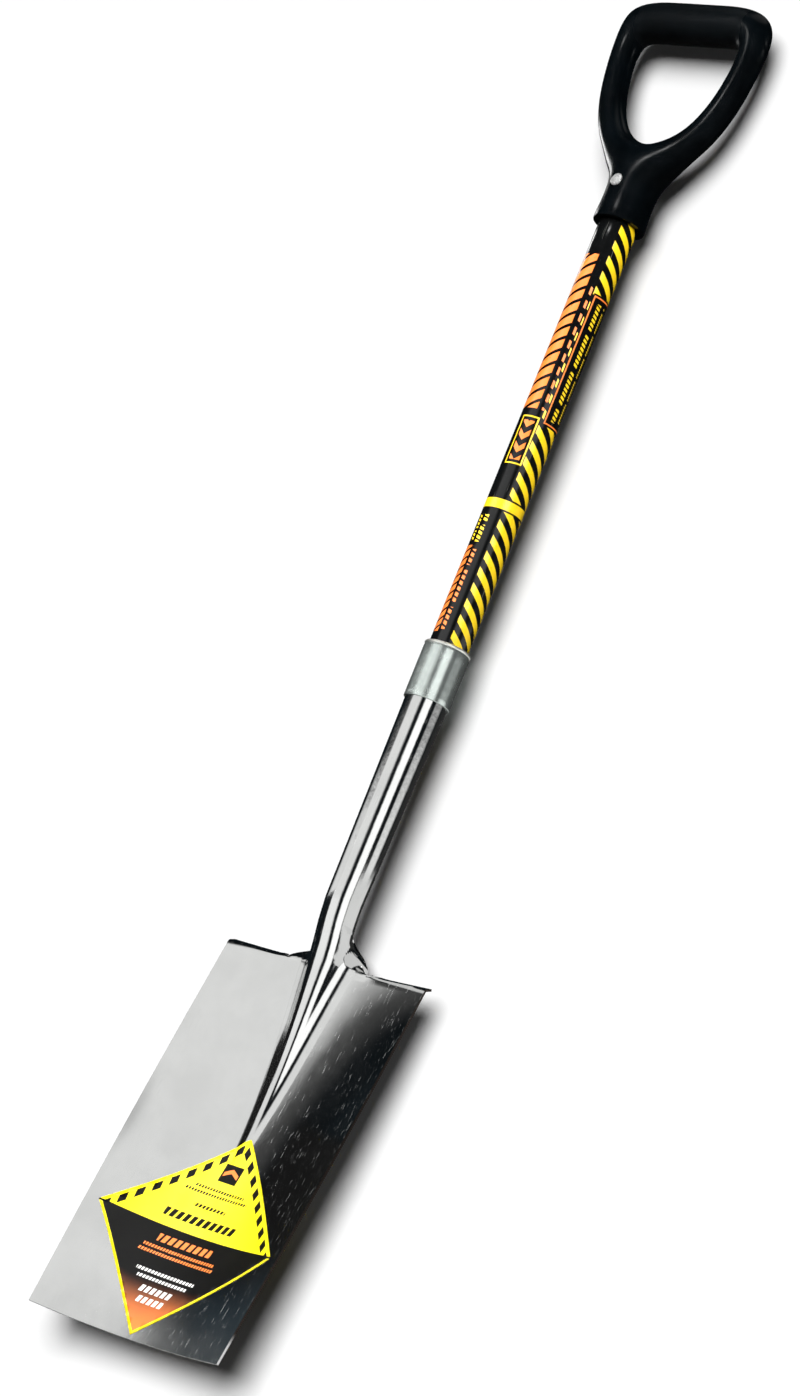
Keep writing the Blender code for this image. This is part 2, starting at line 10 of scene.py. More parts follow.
import bmesh
import bpy
from mathutils import Matrix, Vector


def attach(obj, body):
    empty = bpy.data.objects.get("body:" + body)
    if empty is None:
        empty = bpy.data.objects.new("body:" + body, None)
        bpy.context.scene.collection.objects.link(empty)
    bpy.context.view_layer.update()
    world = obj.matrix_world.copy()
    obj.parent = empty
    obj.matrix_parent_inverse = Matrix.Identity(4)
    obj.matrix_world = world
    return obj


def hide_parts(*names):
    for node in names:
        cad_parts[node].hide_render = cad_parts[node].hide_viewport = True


bl_info = {
    "name": "Garden spade",
    "version": (1, 0, 0),
    "blender": (4, 5, 0),
    "location": "3D View > Sidebar > Spade",
    "description": "Builds a D-handled garden spade, its finishes and a pale studio",
    "category": "Object",
}

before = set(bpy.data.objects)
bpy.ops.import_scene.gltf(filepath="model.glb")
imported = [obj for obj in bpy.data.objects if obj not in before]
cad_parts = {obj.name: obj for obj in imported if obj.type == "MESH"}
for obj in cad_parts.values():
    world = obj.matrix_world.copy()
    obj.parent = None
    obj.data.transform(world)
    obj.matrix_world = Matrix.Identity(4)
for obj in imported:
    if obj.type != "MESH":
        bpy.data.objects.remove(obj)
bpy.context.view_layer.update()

# Heights in the frame that more than one piece needs
GRIP_BOTTOM = -0.1593
RIVET_PLACE = -0.1298
BLADE_TOP = -0.7618


# Properties


def length(name, text, value):
    return bpy.props.FloatProperty(
        name=name, description=text, default=value, unit="LENGTH", precision=5
    )


def angle(name, text, degrees):
    return bpy.props.FloatProperty(
        name=name, description=text, default=math.radians(degrees), unit="ROTATION"
    )


def amount(name, text, value):
    return bpy.props.FloatProperty(name=name, description=text, default=value, min=0.0)


def count(name, text, value):
    return bpy.props.IntProperty(name=name, description=text, default=value, min=1)


def colour(name, text, value):
    return bpy.props.FloatVectorProperty(
        name=name, description=text, default=value, subtype="COLOR", min=0.0, max=1.0
    )


class SpadeSheetSizes(bpy.types.PropertyGroup):
    """The pressed sheet: blade, ridge, steps, neck and rolled socket."""

    thickness: length("Sheet", "Thickness of the steel sheet", 0.0018)
    blade_length: length("Blade length", "From the step's bend to the cutting edge", 0.302)
    top_width: length("Top width", "Width of the blade at its steps", 0.184)
    edge_width: length("Edge width", "Width of the blade at its cutting edge", 0.176)
    side_swell: length("Side swell", "How far each side bows out midway", 0.00146)
    lift: angle("Lift", "Turn of the blade forward from the handle's axis", 11.0)
    setback: length("Setback", "Blade's top behind the handle's axis", 0.0038)
    dish_step: length("Dish at step", "Depth of the hollow at the steps", 0.0040)
    dish_deep: length("Dish", "Greatest depth of the hollow", 0.0200)
    dish_edge: length("Dish at edge", "Depth of the hollow at the cutting edge", 0.0115)
    dish_deep_at: length("Dish place", "Station where the hollow is deepest", 0.145)
    step_width: length("Step width", "Width of the steps turned back for the foot", 0.0086)
    step_turn: angle("Step turn", "How far the steps turn back", 58.0)
    step_bend: length("Step bend", "Radius of the bend at the steps", 0.0028)
    ridge_length: length("Ridge length", "Length of the ridge down the blade", 0.185)
    ridge_height: length("Ridge height", "Height of the ridge at the neck", 0.0168)
    ridge_half: length("Ridge half width", "Half the ridge's width at the neck", 0.0250)
    ridge_tip: length("Ridge tip", "Half the ridge's width at its lower tip", 0.0020)
    ridge_fall: amount("Ridge fall", "Power by which the ridge falls away", 1.9)
    ridge_narrowing: amount("Ridge narrowing", "Power by which the ridge narrows", 0.60)
    crest_neck: amount("Crest share at neck", "Share of the ridge that is its crest", 0.50)
    crest: amount("Crest share", "The same share lower down the blade", 0.34)
    neck_length: length("Neck length", "From the steps to the closed socket", 0.046)
    neck_fillet: length("Neck fillet", "Height of the round corner above the steps", 0.022)
    neck_half: length("Neck half width", "Inner end of each step from the middle", 0.037)
    pinch_start: length("Pinch start", "Where the step starts to narrow to the neck", 0.018)
    pinch: length("Pinch", "Where the step is narrowest", 0.036)
    pinch_end: length("Pinch end", "Where the step has its full width", 0.050)
    pinch_share: amount("Pinch share", "Share of the step's width that is lost there", 0.85)
    socket_neck: length("Socket at neck", "Outer radius of the socket at its foot", 0.0140)
    socket_top: length("Socket at top", "Outer radius of the socket at its mouth", 0.0164)
    socket_length: length("Socket length", "Length of the socket below the collar", 0.160)
    socket_hidden: length("Socket in collar", "Length of the socket in the collar", 0.016)
    seam_gap: length("Seam gap", "Open seam up the back of the socket", 0.0016)
    top_height: length("Blade top", "Height of the blade's top in the frame", BLADE_TOP)
    rows_blade: count("Blade rows", "Rows of the mesh below the ridge", 16)
    rows_ridge: count("Ridge rows", "Rows of the mesh along the ridge", 46)
    columns: count("Columns", "Columns of the mesh on each side of the middle", 44)
    columns_outer: count("Outer columns", "More columns out to each side's edge", 16)


class SpadeLabelSizes(bpy.types.PropertyGroup):
    """The square label that sits on its corner on the blade."""

    diagonal: length("Diagonal", "From corner to corner", 0.1640)
    thickness: length("Thickness", "Thickness of the vinyl", 0.00018)
    gap: length("Glue", "Gap between label and steel", 0.00010)
    top: length("Top corner", "Top corner's distance below the steps", 0.1350)
    aside: length("Aside", "How far the label sits to the right of the middle", 0.0012)
    turn: angle("Turn", "How far the label is turned off square", 1.5)
    border: length("Border", "Plain border round the dark half", 0.0021)
    dash_pitch: length("Dash pitch", "Distance from dash to dash", 0.0128)


class SpadeGripSizes(bpy.types.PropertyGroup):
    """The moulded D grip and its ferrule."""

    bar: length("Bar radius", "Radius of the hand bar", 0.01608)
    half_width: length("Half width", "Half the width of the grip", 0.0672)
    leg_half: length("Leg half width", "Half the width of each leg", 0.0096)
    leg_depth: length("Leg half depth", "Half the depth of each leg", 0.0112)
    hole: length("Hand hole", "Depth of the hand hole", 0.0870)
    ferrule: length("Ferrule radius", "Radius of the ferrule", 0.0194)
    lip: length("Lip radius", "Radius of the ferrule's lip", 0.0202)
    lip_height: length("Lip height", "Height of the ferrule's lip", 0.009)
    bottom: length("Lip place", "Lower end of the grip", GRIP_BOTTOM)
    tube_top: length("Tube top", "Upper end of the tube in the grip", -0.1033)
    spread: amount("Yoke spread", "Width of the yoke against the ferrule", 1.60)
    share_8: amount("Eight-corner share", "Radius that smoothing leaves a leg", 0.902)
    share_12: amount("Twelve-corner share", "Radius that smoothing leaves the ferrule", 0.955)
    smoothing: count("Smoothing", "Levels of subdivision", 3)


class SpadeHandleSizes(bpy.types.PropertyGroup):
    """The shaft's film, the collar and the rivet."""

    film: length("Film radius", "Outer radius of the printed film", 0.0150)
    film_thickness: length("Film thickness", "Thickness of the printed film", 0.0004)
    film_top: length("Film top", "Upper end of the film, in the grip", -0.1473)
    film_bottom: length("Film bottom", "Lower end of the film, in the collar", -0.5213)
    collar_top: length("Collar top", "Upper rim of the collar", -0.5113)
    collar_bottom: length("Collar bottom", "Lower rim of the collar", -0.5558)
    collar_inner: length("Collar bore", "Inner radius of the collar", 0.0167)
    collar_wall: length("Collar wall", "Thickness of the collar", 0.0010)
    rivet_height: length("Rivet place", "Height of the rivet in the frame", RIVET_PLACE)
    rivet_turn: angle("Rivet turn", "Turn of the rivet about the handle", -8.0)
    rivet_head: length("Rivet head", "Radius of the rivet's heads", 0.0052)
    rivet_rise: length("Rivet rise", "Height of the rivet's heads", 0.0019)
    rivet_seat: length("Rivet seat", "Distance of the heads from the axis", 0.0197)
    rivet_shank: length("Rivet shank", "Radius of the rivet's shank", 0.0024)
    steps: count("Steps", "Sides of each turned piece", 96)


class SpadeColours(bpy.types.PropertyGroup):
    """Colours of the finishes, in linear light."""

    steel: colour("Steel", "Polished blade steel", (0.66, 0.665, 0.655))
    steel_edge: colour("Cut edge", "Sheared edge of the sheet", (0.74, 0.74, 0.73))
    zinc: colour("Zinc", "Plated collar", (0.62, 0.68, 0.65))
    rivet: colour("Rivet", "Bright rivet", (0.86, 0.86, 0.85))
    plastic: colour("Plastic", "Moulded grip", (0.0005, 0.0010, 0.0014))
    film: colour("Film", "Ground of the printed film", (0.0022, 0.0024, 0.0025))
    yellow: colour("Yellow", "Stripes on the film", (0.89, 0.60, 0.010))
    orange: colour("Orange", "Blocks on the film and label", (0.87, 0.205, 0.028))
    label_yellow: colour("Label yellow", "Light half of the label", (0.96, 0.80, 0.006))
    label_black: colour("Label black", "Dark half of the label", (0.0026, 0.0025, 0.0023))
    fibreglass: colour("Fibreglass", "Resin and glass of the tube", (0.62, 0.45, 0.16))
    resin: colour("Core resin", "Cast core in the tube", (0.62, 0.57, 0.42))
    wood: colour("Plug wood", "Turned plug in the grip", (0.45, 0.30, 0.16))


class SpadeStudio(bpy.types.PropertyGroup):
    """Backdrop, floor, lamps and reflection panels."""

    wall: length("Wall", "Distance of the backdrop behind the handle's axis", 0.0340)
    bend: length("Bend", "Height at which the backdrop starts to lean forward", -0.775)
    floor: length("Floor", "Height of the floor", -1.255)
    backdrop: colour("Backdrop", "Colour of the backdrop and floor", (0.97, 0.97, 0.97))
    ambient: amount("Ambient", "Level of the light from all round", 0.030)
    shadow_lamp: amount("Shadow lamp", "Strength of the lamp that draws the shadow", 3.42)
    left_lamp: amount("Left lamp", "Power of the broad lamp at the front left", 112.0)
    right_lamp: amount("Right lamp", "Power of the broad lamp above the camera", 96.0)


# Nodes


class Nodes:
    """Adds shader nodes to a tree. An input is a number, a colour or another node's socket."""

    def __init__(self, tree):
        self.tree = tree

    def feed(self, socket, value):
        if isinstance(value, bpy.types.NodeSocket):
            self.tree.links.new(value, socket)
        elif socket.type == "RGBA":
            socket.default_value = (*value[:3], 1.0)
        else:
            socket.default_value = value

    def add(self, kind, inputs=None, output=0, **settings):
        node = self.tree.nodes.new(kind)
        for key, value in settings.items():
            setattr(node, key, value)
        for key, value in (inputs or {}).items():
            self.feed(node.inputs[key], value)
        return node.outputs[output]

    def math(self, operation, *values):
        """One operation on one value, or on two or more in turn."""
        result, *rest = values
        if not rest:
            return self.add("ShaderNodeMath", {0: result}, operation=operation)
        for value in rest:
            result = self.add("ShaderNodeMath", {0: result, 1: value}, operation=operation)
        return result

    def total(self, *values):
        return self.math("ADD", *values)

    def minus(self, one, two):
        return self.math("SUBTRACT", one, two)

    def product(self, *values):
        return self.math("MULTIPLY", *values)

    def either(self, *masks):
        return self.math("MAXIMUM", *masks)

    def absolute(self, value):
        return self.math("ABSOLUTE", value)

    def cycle(self, value, pitch):
        """From 0 to 1 over and over, once for each pitch."""
        return self.math("FRACT", self.math("DIVIDE", value, pitch))

    def ramp(self, value, low, high, start=0.0, end=1.0, kind="SMOOTHSTEP"):
        inputs = {"Value": value, "From Min": low, "From Max": high, "To Min": start, "To Max": end}
        return self.add("ShaderNodeMapRange", inputs, interpolation_type=kind)

    def blend(self, share, low, high):
        return self.add("ShaderNodeMix", {0: share, 6: low, 7: high}, 2, data_type="RGBA")

    def split(self, vector):
        node = self.tree.nodes.new("ShaderNodeSeparateXYZ")
        self.feed(node.inputs[0], vector)
        return node.outputs

    def stretched(self, vector, scale, turn=(0.0, 0.0, 0.0)):
        return self.add("ShaderNodeMapping", {"Vector": vector, "Scale": scale, "Rotation": turn})

    def noise(self, vector, scale, detail=2.0, rough=0.5):
        inputs = {"Vector": vector, "Scale": scale, "Detail": detail, "Roughness": rough}
        return self.add("ShaderNodeTexNoise", inputs)

    def dot(self, vector, axis):
        inputs = {0: vector, 1: axis}
        return self.add("ShaderNodeVectorMath", inputs, "Value", operation="DOT_PRODUCT")

    def show(self, share, shader):
        """Send a shader to the output, see-through where share is 0."""
        clear = self.add("ShaderNodeBsdfTransparent")
        mixed = self.add("ShaderNodeMixShader", {0: share, 1: clear, 2: shader})
        self.feed(self.tree.nodes["Material Output"].inputs["Surface"], mixed)


def node_group(name, output, **inputs):
    """An empty node group, and its input and output sockets. An input of None takes a vector."""
    tree = bpy.data.node_groups.new(name, "ShaderNodeTree")
    for label, value in inputs.items():
        kind = "NodeSocketVector" if value is None else "NodeSocketFloat"
        socket = tree.interface.new_socket(label, in_out="INPUT", socket_type=kind)
        if value is not None:
            socket.default_value = value
    tree.interface.new_socket(output, in_out="OUTPUT", socket_type="NodeSocketFloat")
    start = tree.nodes.new("NodeGroupInput").outputs
    end = tree.nodes.new("NodeGroupOutput").inputs
    return Nodes(tree), start, end[output]


def band_group():
    """1 between two values, 0 outside, with soft edges."""
    n, start, end = node_group("Band", "Mask", Value=0.0, Low=0.0, High=1.0, Edge=0.01)
    value, low, high, edge = [start[k] for k in ("Value", "Low", "High", "Edge")]
    rise = n.ramp(value, n.minus(low, edge), n.total(low, edge))
    fall = n.ramp(value, n.minus(high, edge), n.total(high, edge), 1.0, 0.0)
    n.feed(end, n.product(rise, fall))
    return n.tree


def mottle_group():
    """Slow, soft unevenness between two values."""
    n, start, end = node_group("Soft mottle", "Value", Vector=None, Scale=30.0, Low=0.0, High=1.0)
    cloud = n.noise(start["Vector"], start["Scale"], 4.0, 0.55)
    n.feed(end, n.ramp(cloud, 0.30, 0.70, start["Low"], start["High"]))
    return n.tree


def scratch_group():
    """Fine straight scratches that run in three directions."""
    n, start, end = node_group("Fine scratches", "Mask", Vector=None, Scale=60.0, Amount=0.5)
    start_at = n.minus(0.80, n.product(start["Amount"], 0.16))
    masks = []
    for turn, thin in ((0.5, 26.0), (-0.35, 34.0), (1.25, 22.0)):
        lines = n.stretched(start["Vector"], (thin, 4.0, 1.0), (0.0, turn, 0.0))
        lines = n.noise(lines, start["Scale"], 1.0, 0.4)
        masks.append(n.ramp(lines, start_at, n.total(start_at, 0.05)))
    n.feed(end, n.either(*masks))
    return n.tree


def grain_group():
    """Fine moulded or rolled grain, as a height."""
    n, start, end = node_group("Moulded grain", "Height", Vector=None, Scale=900.0, Depth=1.0)
    inputs = {"Vector": start["Vector"], "Scale": start["Scale"], "Randomness": 1.0}
    cells = n.add("ShaderNodeTexVoronoi", inputs, "Distance", feature="SMOOTH_F1")
    fine = n.noise(start["Vector"], start["Scale"], 3.0, 0.6)
    n.feed(end, n.product(n.total(cells, n.product(fine, 0.6)), start["Depth"]))
    return n.tree


GROUPS = {}


def shared_group(name, build):
    """A node group that several finishes share, made once."""
    if name not in GROUPS:
        GROUPS[name] = build()
    return GROUPS[name]


class Finish(Nodes):
    """A material with a Principled shader, and the shared effects at hand."""

    def __init__(self, name, roughness, metallic=0.0, **constants):
        self.material = bpy.data.materials.new(name)
        self.material.use_nodes = True
        super().__init__(self.material.node_tree)
        self.shader = self.tree.nodes["Principled BSDF"]
        self.set("Roughness", roughness)
        self.set("Metallic", metallic)
        for key, value in constants.items():
            self.set(key.replace("_", " "), value)
        self.place = self.add("ShaderNodeTexCoord", output="Object")

    def set(self, socket, value):
        self.feed(self.shader.inputs[socket], value)

    def shared(self, name, build, inputs):
        return self.add("ShaderNodeGroup", inputs, node_tree=shared_group(name, build))

    def band(self, value, low, high, edge):
        inputs = {"Value": value, "Low": low, "High": high, "Edge": edge}
        return self.shared("band", band_group, inputs)

    def mottle(self, scale, low=0.0, high=1.0):
        inputs = {"Vector": self.place, "Scale": scale, "Low": low, "High": high}
        return self.shared("mottle", mottle_group, inputs)

    def scratches(self, scale, share):
        inputs = {"Vector": self.place, "Scale": scale, "Amount": share}
        return self.shared("scratches", scratch_group, inputs)

    def grain(self, scale, depth):
        inputs = {"Vector": self.place, "Scale": scale, "Depth": depth}
        return self.shared("grain", grain_group, inputs)

    def drawn(self, stretch, scale, detail=2.0, rough=0.5):
        """Noise drawn out along the axes."""
        return self.noise(self.stretched(self.place, stretch), scale, detail, rough)

    def tones(self, share, base, low, high):
        """Between two tones of one colour."""
        return self.blend(share, tone(base, low), tone(base, high))

    def relief(self, height, distance, strength):
        """Give the surface its relief, and hand over the material."""
        inputs = {"Height": height, "Distance": distance, "Strength": strength}
        self.set("Normal", self.add("ShaderNodeBump", inputs))
        return self.material


def tone(base, share):
    return tuple(min(channel * share, 1.0) for channel in base)


def steel_finish(colours):
    """Polished, lightly scratched pressed steel, pressed into small pleats beside the neck."""
    f = Finish("blade steel", 0.1, 1.0)
    x, y, z = f.split(f.place)
    side = f.absolute(x)
    lines = f.either(f.scratches(70.0, 0.40), f.scratches(38.0, 0.22))
    lines = f.product(lines, f.ramp(x, -0.020, 0.015, 0.06, 0.28))
    specks = f.ramp(f.noise(f.place, 1100.0, 2.0, 0.6), 0.68, 0.74)
    marks = f.total(lines, f.product(specks, 0.06))
    f.set("Base Color", f.tones(f.mottle(24.0), colours.steel, 0.96, 1.04))
    f.set("Metallic", f.minus(1.0, marks))
    dull_from, dull_to = -1.015, -1.056
    ground = f.ramp(z, dull_from, dull_to, 0.0, 0.12)
    f.set("Roughness", f.total(f.product(marks, 0.15), f.mottle(55.0, 0.080, 0.110), ground))
    waves = f.product(f.drawn((1.0, 1.0, 0.6), 300.0, 3.0, 0.6), f.ramp(side, 0.026, 0.016), 0.16)
    dents = f.product(f.noise(f.place, 26.0, 1.0, 0.4), 0.5)

    # Pleats beside the neck, just above the steps
    pleat_pitch = 0.0030
    low, high = BLADE_TOP + 0.0108, BLADE_TOP + 0.0203
    pleat = f.product(f.band(side, 0.0135, 0.0185, 0.0015), f.band(z, low, high, 0.0020))
    pleat = f.product(pleat, f.band(y, 0.0, 0.020, 0.002))
    folds = f.math("SINE", f.product(f.total(z, f.product(y, 0.9)), 2.0 * math.pi / pleat_pitch))
    return f.relief(f.total(dents, waves, f.product(folds, pleat, 0.16)), 0.0005, 0.5)


def cut_edge_finish(colours):
    """Edge of the sheet: ground steel along the cutting edge, and above it painted near black as a
    painted line of shade.
    """
    f = Finish("cut edge steel", 0.3, 1.0)
    grinding = f.drawn((1.0, 0.1, 1.0), 1400.0)
    # Above the cutting edge the edge's colour is painted near black, a painted shadow line along the
    # sheet's edges
    dark_above, bright_below = -1.034, -1.046
    ground_share = f.ramp(f.split(f.place)[2], dark_above, bright_below)
    ground = f.tones(grinding, colours.steel_edge, 0.8, 1.0)
    f.set("Base Color", f.blend(ground_share, (0.030, 0.024, 0.020), ground))
    f.set("Roughness", f.ramp(grinding, 0.3, 0.7, 0.24, 0.42))
    return f.relief(grinding, 0.00008, 0.6)


def zinc_finish(colours, top):
    """Satin zinc plating, with drawn lines along the sleeve and a painted highlight on its curled top
    rim.
    """
    f = Finish("zinc plate", 0.3, 0.90)
    drawn = f.drawn((1.0, 1.0, 0.02), 900.0)
    base = f.tones(f.mottle(120.0), colours.zinc, 0.92, 1.05)
    base = f.blend(f.ramp(drawn, 0.40, 0.80, 0.0, 0.30), base, tone(colours.zinc, 0.78))
    # The curled top rim is painted pale, a painted highlight, and is made a little rougher
    rim_foot, rim_full = top - 0.0030, top - 0.0016
    rim = f.ramp(f.split(f.place)[2], rim_foot, rim_full)
    f.set("Base Color", f.blend(rim, base, (0.90, 0.89, 0.82)))
    rough = f.total(f.product(drawn, 0.08), f.mottle(60.0, 0.18, 0.24), f.product(rim, 0.10))
    f.set("Roughness", rough)
    height = f.total(f.product(drawn, 0.6), f.product(f.mottle(220.0), 0.5))
    return f.relief(height, 0.00005, 0.6)


def rivet_finish(colours):
    """Bright plating with small hammer marks."""
    f = Finish("rivet steel", 0.35, 0.80)
    marks = f.scratches(240.0, 0.7)
    f.set("Base Color", f.tones(f.product(marks, 0.4), colours.rivet, 1.0, 0.7))
    f.set("Roughness", f.total(f.product(marks, 0.15), f.mottle(500.0, 0.25, 0.38)))
    return f.relief(f.mottle(420.0), 0.00015, 0.6)


def plastic_finish(colours):
    """Black moulding: satin legs and ferrule, fine grain on the hand bar, a faint parting line."""
    f = Finish("moulded plastic", 0.3, Specular_IOR_Level=0.34)
    x, y, z = f.split(f.place)
    on_bar = f.product(f.ramp(z, -0.006, -0.001), f.ramp(f.absolute(x), 0.050, 0.045))
    f.set("Base Color", f.tones(f.mottle(45.0), colours.plastic, 0.8, 1.5))
    f.set("Roughness", f.total(f.product(on_bar, 0.18), f.mottle(90.0, 0.20, 0.27)))
    line = f.band(f.absolute(y), -0.001, 0.00016, 0.00008)
    grain = f.product(f.grain(1500.0, 1.0), f.total(f.product(on_bar, 0.9), 0.06))
    ribs = f.product(f.noise(f.place, 260.0), 0.10)
    return f.relief(f.total(grain, ribs, f.product(line, 0.7)), 0.00016, 0.8)


def film_finish(colours, sizes):
    """Printed film on the shaft: stripes down one side, plain blocks and rules on the other.

    A zone is two angles, in degrees from the front towards +X, and two heights in the frame.
    """
    f = Finish("printed film", 0.2, Specular_IOR_Level=0.5)
    x, y, z = f.split(f.place)
    degrees = f.product(f.math("ARCTAN2", x, f.product(y, -1.0)), 180.0 / math.pi)
    edge = f.minus(45.5, f.product(f.minus(GRIP_BOTTOM, z), 35.5))
    inside = f.minus(degrees, edge)
    arc = f.product(inside, math.radians(1.0) * sizes.film)
    soft = 0.00012
    soft_angle = 0.6

    def zone(low_angle, high_angle, low, high):
        turned = f.band(degrees, low_angle, high_angle, soft_angle)
        return f.product(turned, f.band(z, low, high, soft))

    def bars(pitch, share, slope=0.0):
        return f.band(f.cycle(f.total(z, f.product(arc, slope)), pitch), 0.0, share, 0.012)

    def ticks(pitch, gap_pitch, *place):
        return f.product(bars(pitch, 0.62, 0.35), bars(gap_pitch, 0.86), zone(*place))

    def without(mask, hole):
        return f.product(mask, f.minus(1.0, hole))

    # Hazard stripes, broken by a ring, a long panel and a small box
    ring = f.band(z, -0.4020, -0.3945, soft)
    ring_gap = f.band(z, -0.4034, -0.3931, soft)
    box = zone(-20.0, 36.0, -0.3660, -0.3262)
    hazard = f.product(bars(0.0130, 0.50, 0.82), f.band(inside, 0.0, 112.0, soft_angle))
    hazard = without(hazard, f.either(ring_gap, zone(46.0, 133.0, -0.3305, -0.2200), box))
    yellow = f.either(
        hazard,
        ring,
        ticks(0.0034, 0.0310, 69.0, 83.0, -0.3250, -0.2265),
        ticks(0.0021, 0.0190, 97.0, 104.0, -0.3250, -0.2265),
        ticks(0.0030, 0.0140, -33.0, -22.0, -0.4300, -0.4085),
        ticks(0.0036, 0.0230, -12.0, 3.0, -0.4310, -0.4085),
        without(box, zone(-15.5, 31.5, -0.3649, -0.3273)),
    )

    # Orange blocks with slots, chevrons in the box, a dashed rule and the long panel's frame
    chevron = f.total(z, f.product(f.absolute(f.minus(degrees, 8.0)), -0.00026))
    chevrons = f.band(f.cycle(chevron, 0.0105), 0.0, 0.48, 0.02)
    orange = f.either(
        f.product(bars(0.0106, 0.70, -0.62), zone(-52.0, 17.0, -0.3200, -0.1900)),
        f.product(bars(0.0070, 0.68, -0.62), zone(-48.0, -15.0, -0.5040, -0.4340)),
        f.product(chevrons, zone(-9.0, 25.0, -0.3625, -0.3300)),
        f.product(bars(0.0112, 0.55, 0.5), zone(31.0, 38.0, -0.3200, -0.2150)),
        ticks(0.0046, 0.0300, -6.0, 6.0, -0.5020, -0.4370),
        without(zone(50.0, 131.0, -0.3290, -0.2215), zone(54.0, 127.0, -0.3278, -0.2227)),
    )
    wear = f.scratches(40.0, 0.25)
    inks = f.tones(f.mottle(70.0), colours.film, 0.8, 1.3)
    inks = f.blend(yellow, inks, f.tones(f.mottle(40.0), colours.yellow, 0.95, 1.0))
    inks = f.blend(orange, inks, f.tones(f.mottle(50.0), colours.orange, 0.94, 1.0))
    f.set("Base Color", f.blend(f.product(wear, 0.12), inks, (0.30, 0.29, 0.26)))
    printed = f.either(yellow, orange)
    rough = f.total(f.mottle(80.0, 0.15, 0.21), f.product(printed, 0.12), f.product(wear, 0.15))
    f.set("Roughness", rough)
    seam = f.band(f.absolute(degrees), 176.6, 177.4, 0.15)
    height = f.total(f.product(printed, 0.25), seam, f.product(f.noise(f.place, 160.0), 0.35))
    return f.relief(height, 0.00008, 0.5)


def label_finish(colours, sizes, centre, across, down):
    """Vinyl label: a light half with dashes along its edges, and a dark half that warms to its tip."""
    f = Finish("label vinyl", 0.38, Specular_IOR_Level=0.4)
    u = f.minus(f.dot(f.place, across), across.dot(centre))
    v = f.minus(f.dot(f.place, down), down.dot(centre))
    side = f.absolute(u)
    from_edge = f.minus(0.5 * sizes.diagonal, f.total(side, f.absolute(v)))
    inward = f.product(from_edge, math.sqrt(0.5))
    along = f.product(f.minus(f.product(v, -1.0), side), math.sqrt(0.5))
    soft = 0.00018
    upper = f.ramp(v, soft, -soft)

    def patch(height, low, high, half_width):
        return f.product(f.band(height, low, high, soft), f.band(side, -0.001, half_width, soft))

    def rows(*places):
        """Rows of plain ticks: two edges, half the width and the pitch of each."""
        found = []
        for low, high, half_width, pitch in places:
            marks = f.band(f.cycle(f.total(u, f.product(v, 0.3)), pitch), 0.0, 0.66, 0.03)
            found.append(f.product(marks, patch(v, low, high, half_width)))
        return f.either(*found)

    # Light half: dashes along its edges, rows of ticks, and a dark badge with one chevron
    slanted = f.total(along, f.product(inward, 0.75), 0.0030)
    dashes = f.band(f.cycle(slanted, sizes.dash_pitch), 0.0, 0.54, 0.02)
    dashes = f.product(dashes, f.band(inward, 0.0026, 0.0078, soft), upper)
    ticks = rows(
        (-0.0390, -0.0368, 0.0230, 0.0026),
        (-0.0348, -0.0326, 0.0290, 0.0026),
        (-0.0250, -0.0222, 0.0150, 0.0034),
        (-0.0150, -0.0085, 0.0330, 0.0062),
    )
    marks = f.either(dashes, patch(v, -0.0600, -0.0455, 0.0082), ticks)
    chevron = patch(f.total(v, f.product(side, -0.55)), -0.0570, -0.0535, 0.0066)
    light = f.tones(f.mottle(35.0), colours.label_yellow, 0.97, 1.0)
    light = f.blend(marks, light, colours.label_black)
    light = f.blend(f.product(chevron, upper), light, colours.orange)

    # Dark half: it warms to its tip, with rows of warm and of pale ticks
    glow = f.ramp(f.total(v, f.product(f.mottle(30.0), 0.004)), 0.040, 0.084)
    dark = f.blend(glow, colours.label_black, colours.orange)
    warm = rows(
        (0.0055, 0.0115, 0.0250, 0.0060),
        (0.0150, 0.0173, 0.0330, 0.0026),
        (0.0193, 0.0216, 0.0350, 0.0026),
    )
    pale = rows(
        (0.0330, 0.0354, 0.0270, 0.0030),
        (0.0380, 0.0404, 0.0230, 0.0030),
        (0.0450, 0.0500, 0.0150, 0.0050),
        (0.0530, 0.0580, 0.0120, 0.0050),
    )
    dark = f.blend(pale, f.blend(warm, dark, colours.orange), (0.80, 0.80, 0.78))
    lower = f.product(f.ramp(inward, sizes.border - soft, sizes.border + soft), f.ramp(v, 0.0, soft))
    divider = f.band(v, -0.0010, 0.0006, soft)
    f.set("Base Color", f.blend(divider, f.blend(lower, light, dark), colours.label_black))
    f.set("Roughness", f.mottle(60.0, 0.30, 0.42))
    height = f.total(f.grain(1800.0, 0.3), f.product(f.noise(f.place, 90.0), 1.4))
    return f.relief(height, 0.00007, 0.5)


def fibreglass_finish(colours):
    f = Finish("fibreglass", 0.35, Specular_IOR_Level=0.5)
    strands = f.drawn((1.0, 1.0, 0.03), 900.0, 3.0, 0.6)
    f.set("Base Color", f.tones(strands, colours.fibreglass, 0.7, 1.2))
    f.set("Roughness", f.ramp(strands, 0.3, 0.7, 0.28, 0.46))
    return f.relief(strands, 0.00008, 0.6)


def resin_finish(colours):
    f = Finish("core resin", 0.55)
    f.set("Base Color", f.tones(f.mottle(180.0), colours.resin, 0.82, 1.06))
    f.set("Roughness", f.mottle(260.0, 0.48, 0.64))
    return f.relief(f.grain(1400.0, 1.0), 0.00008, 0.5)


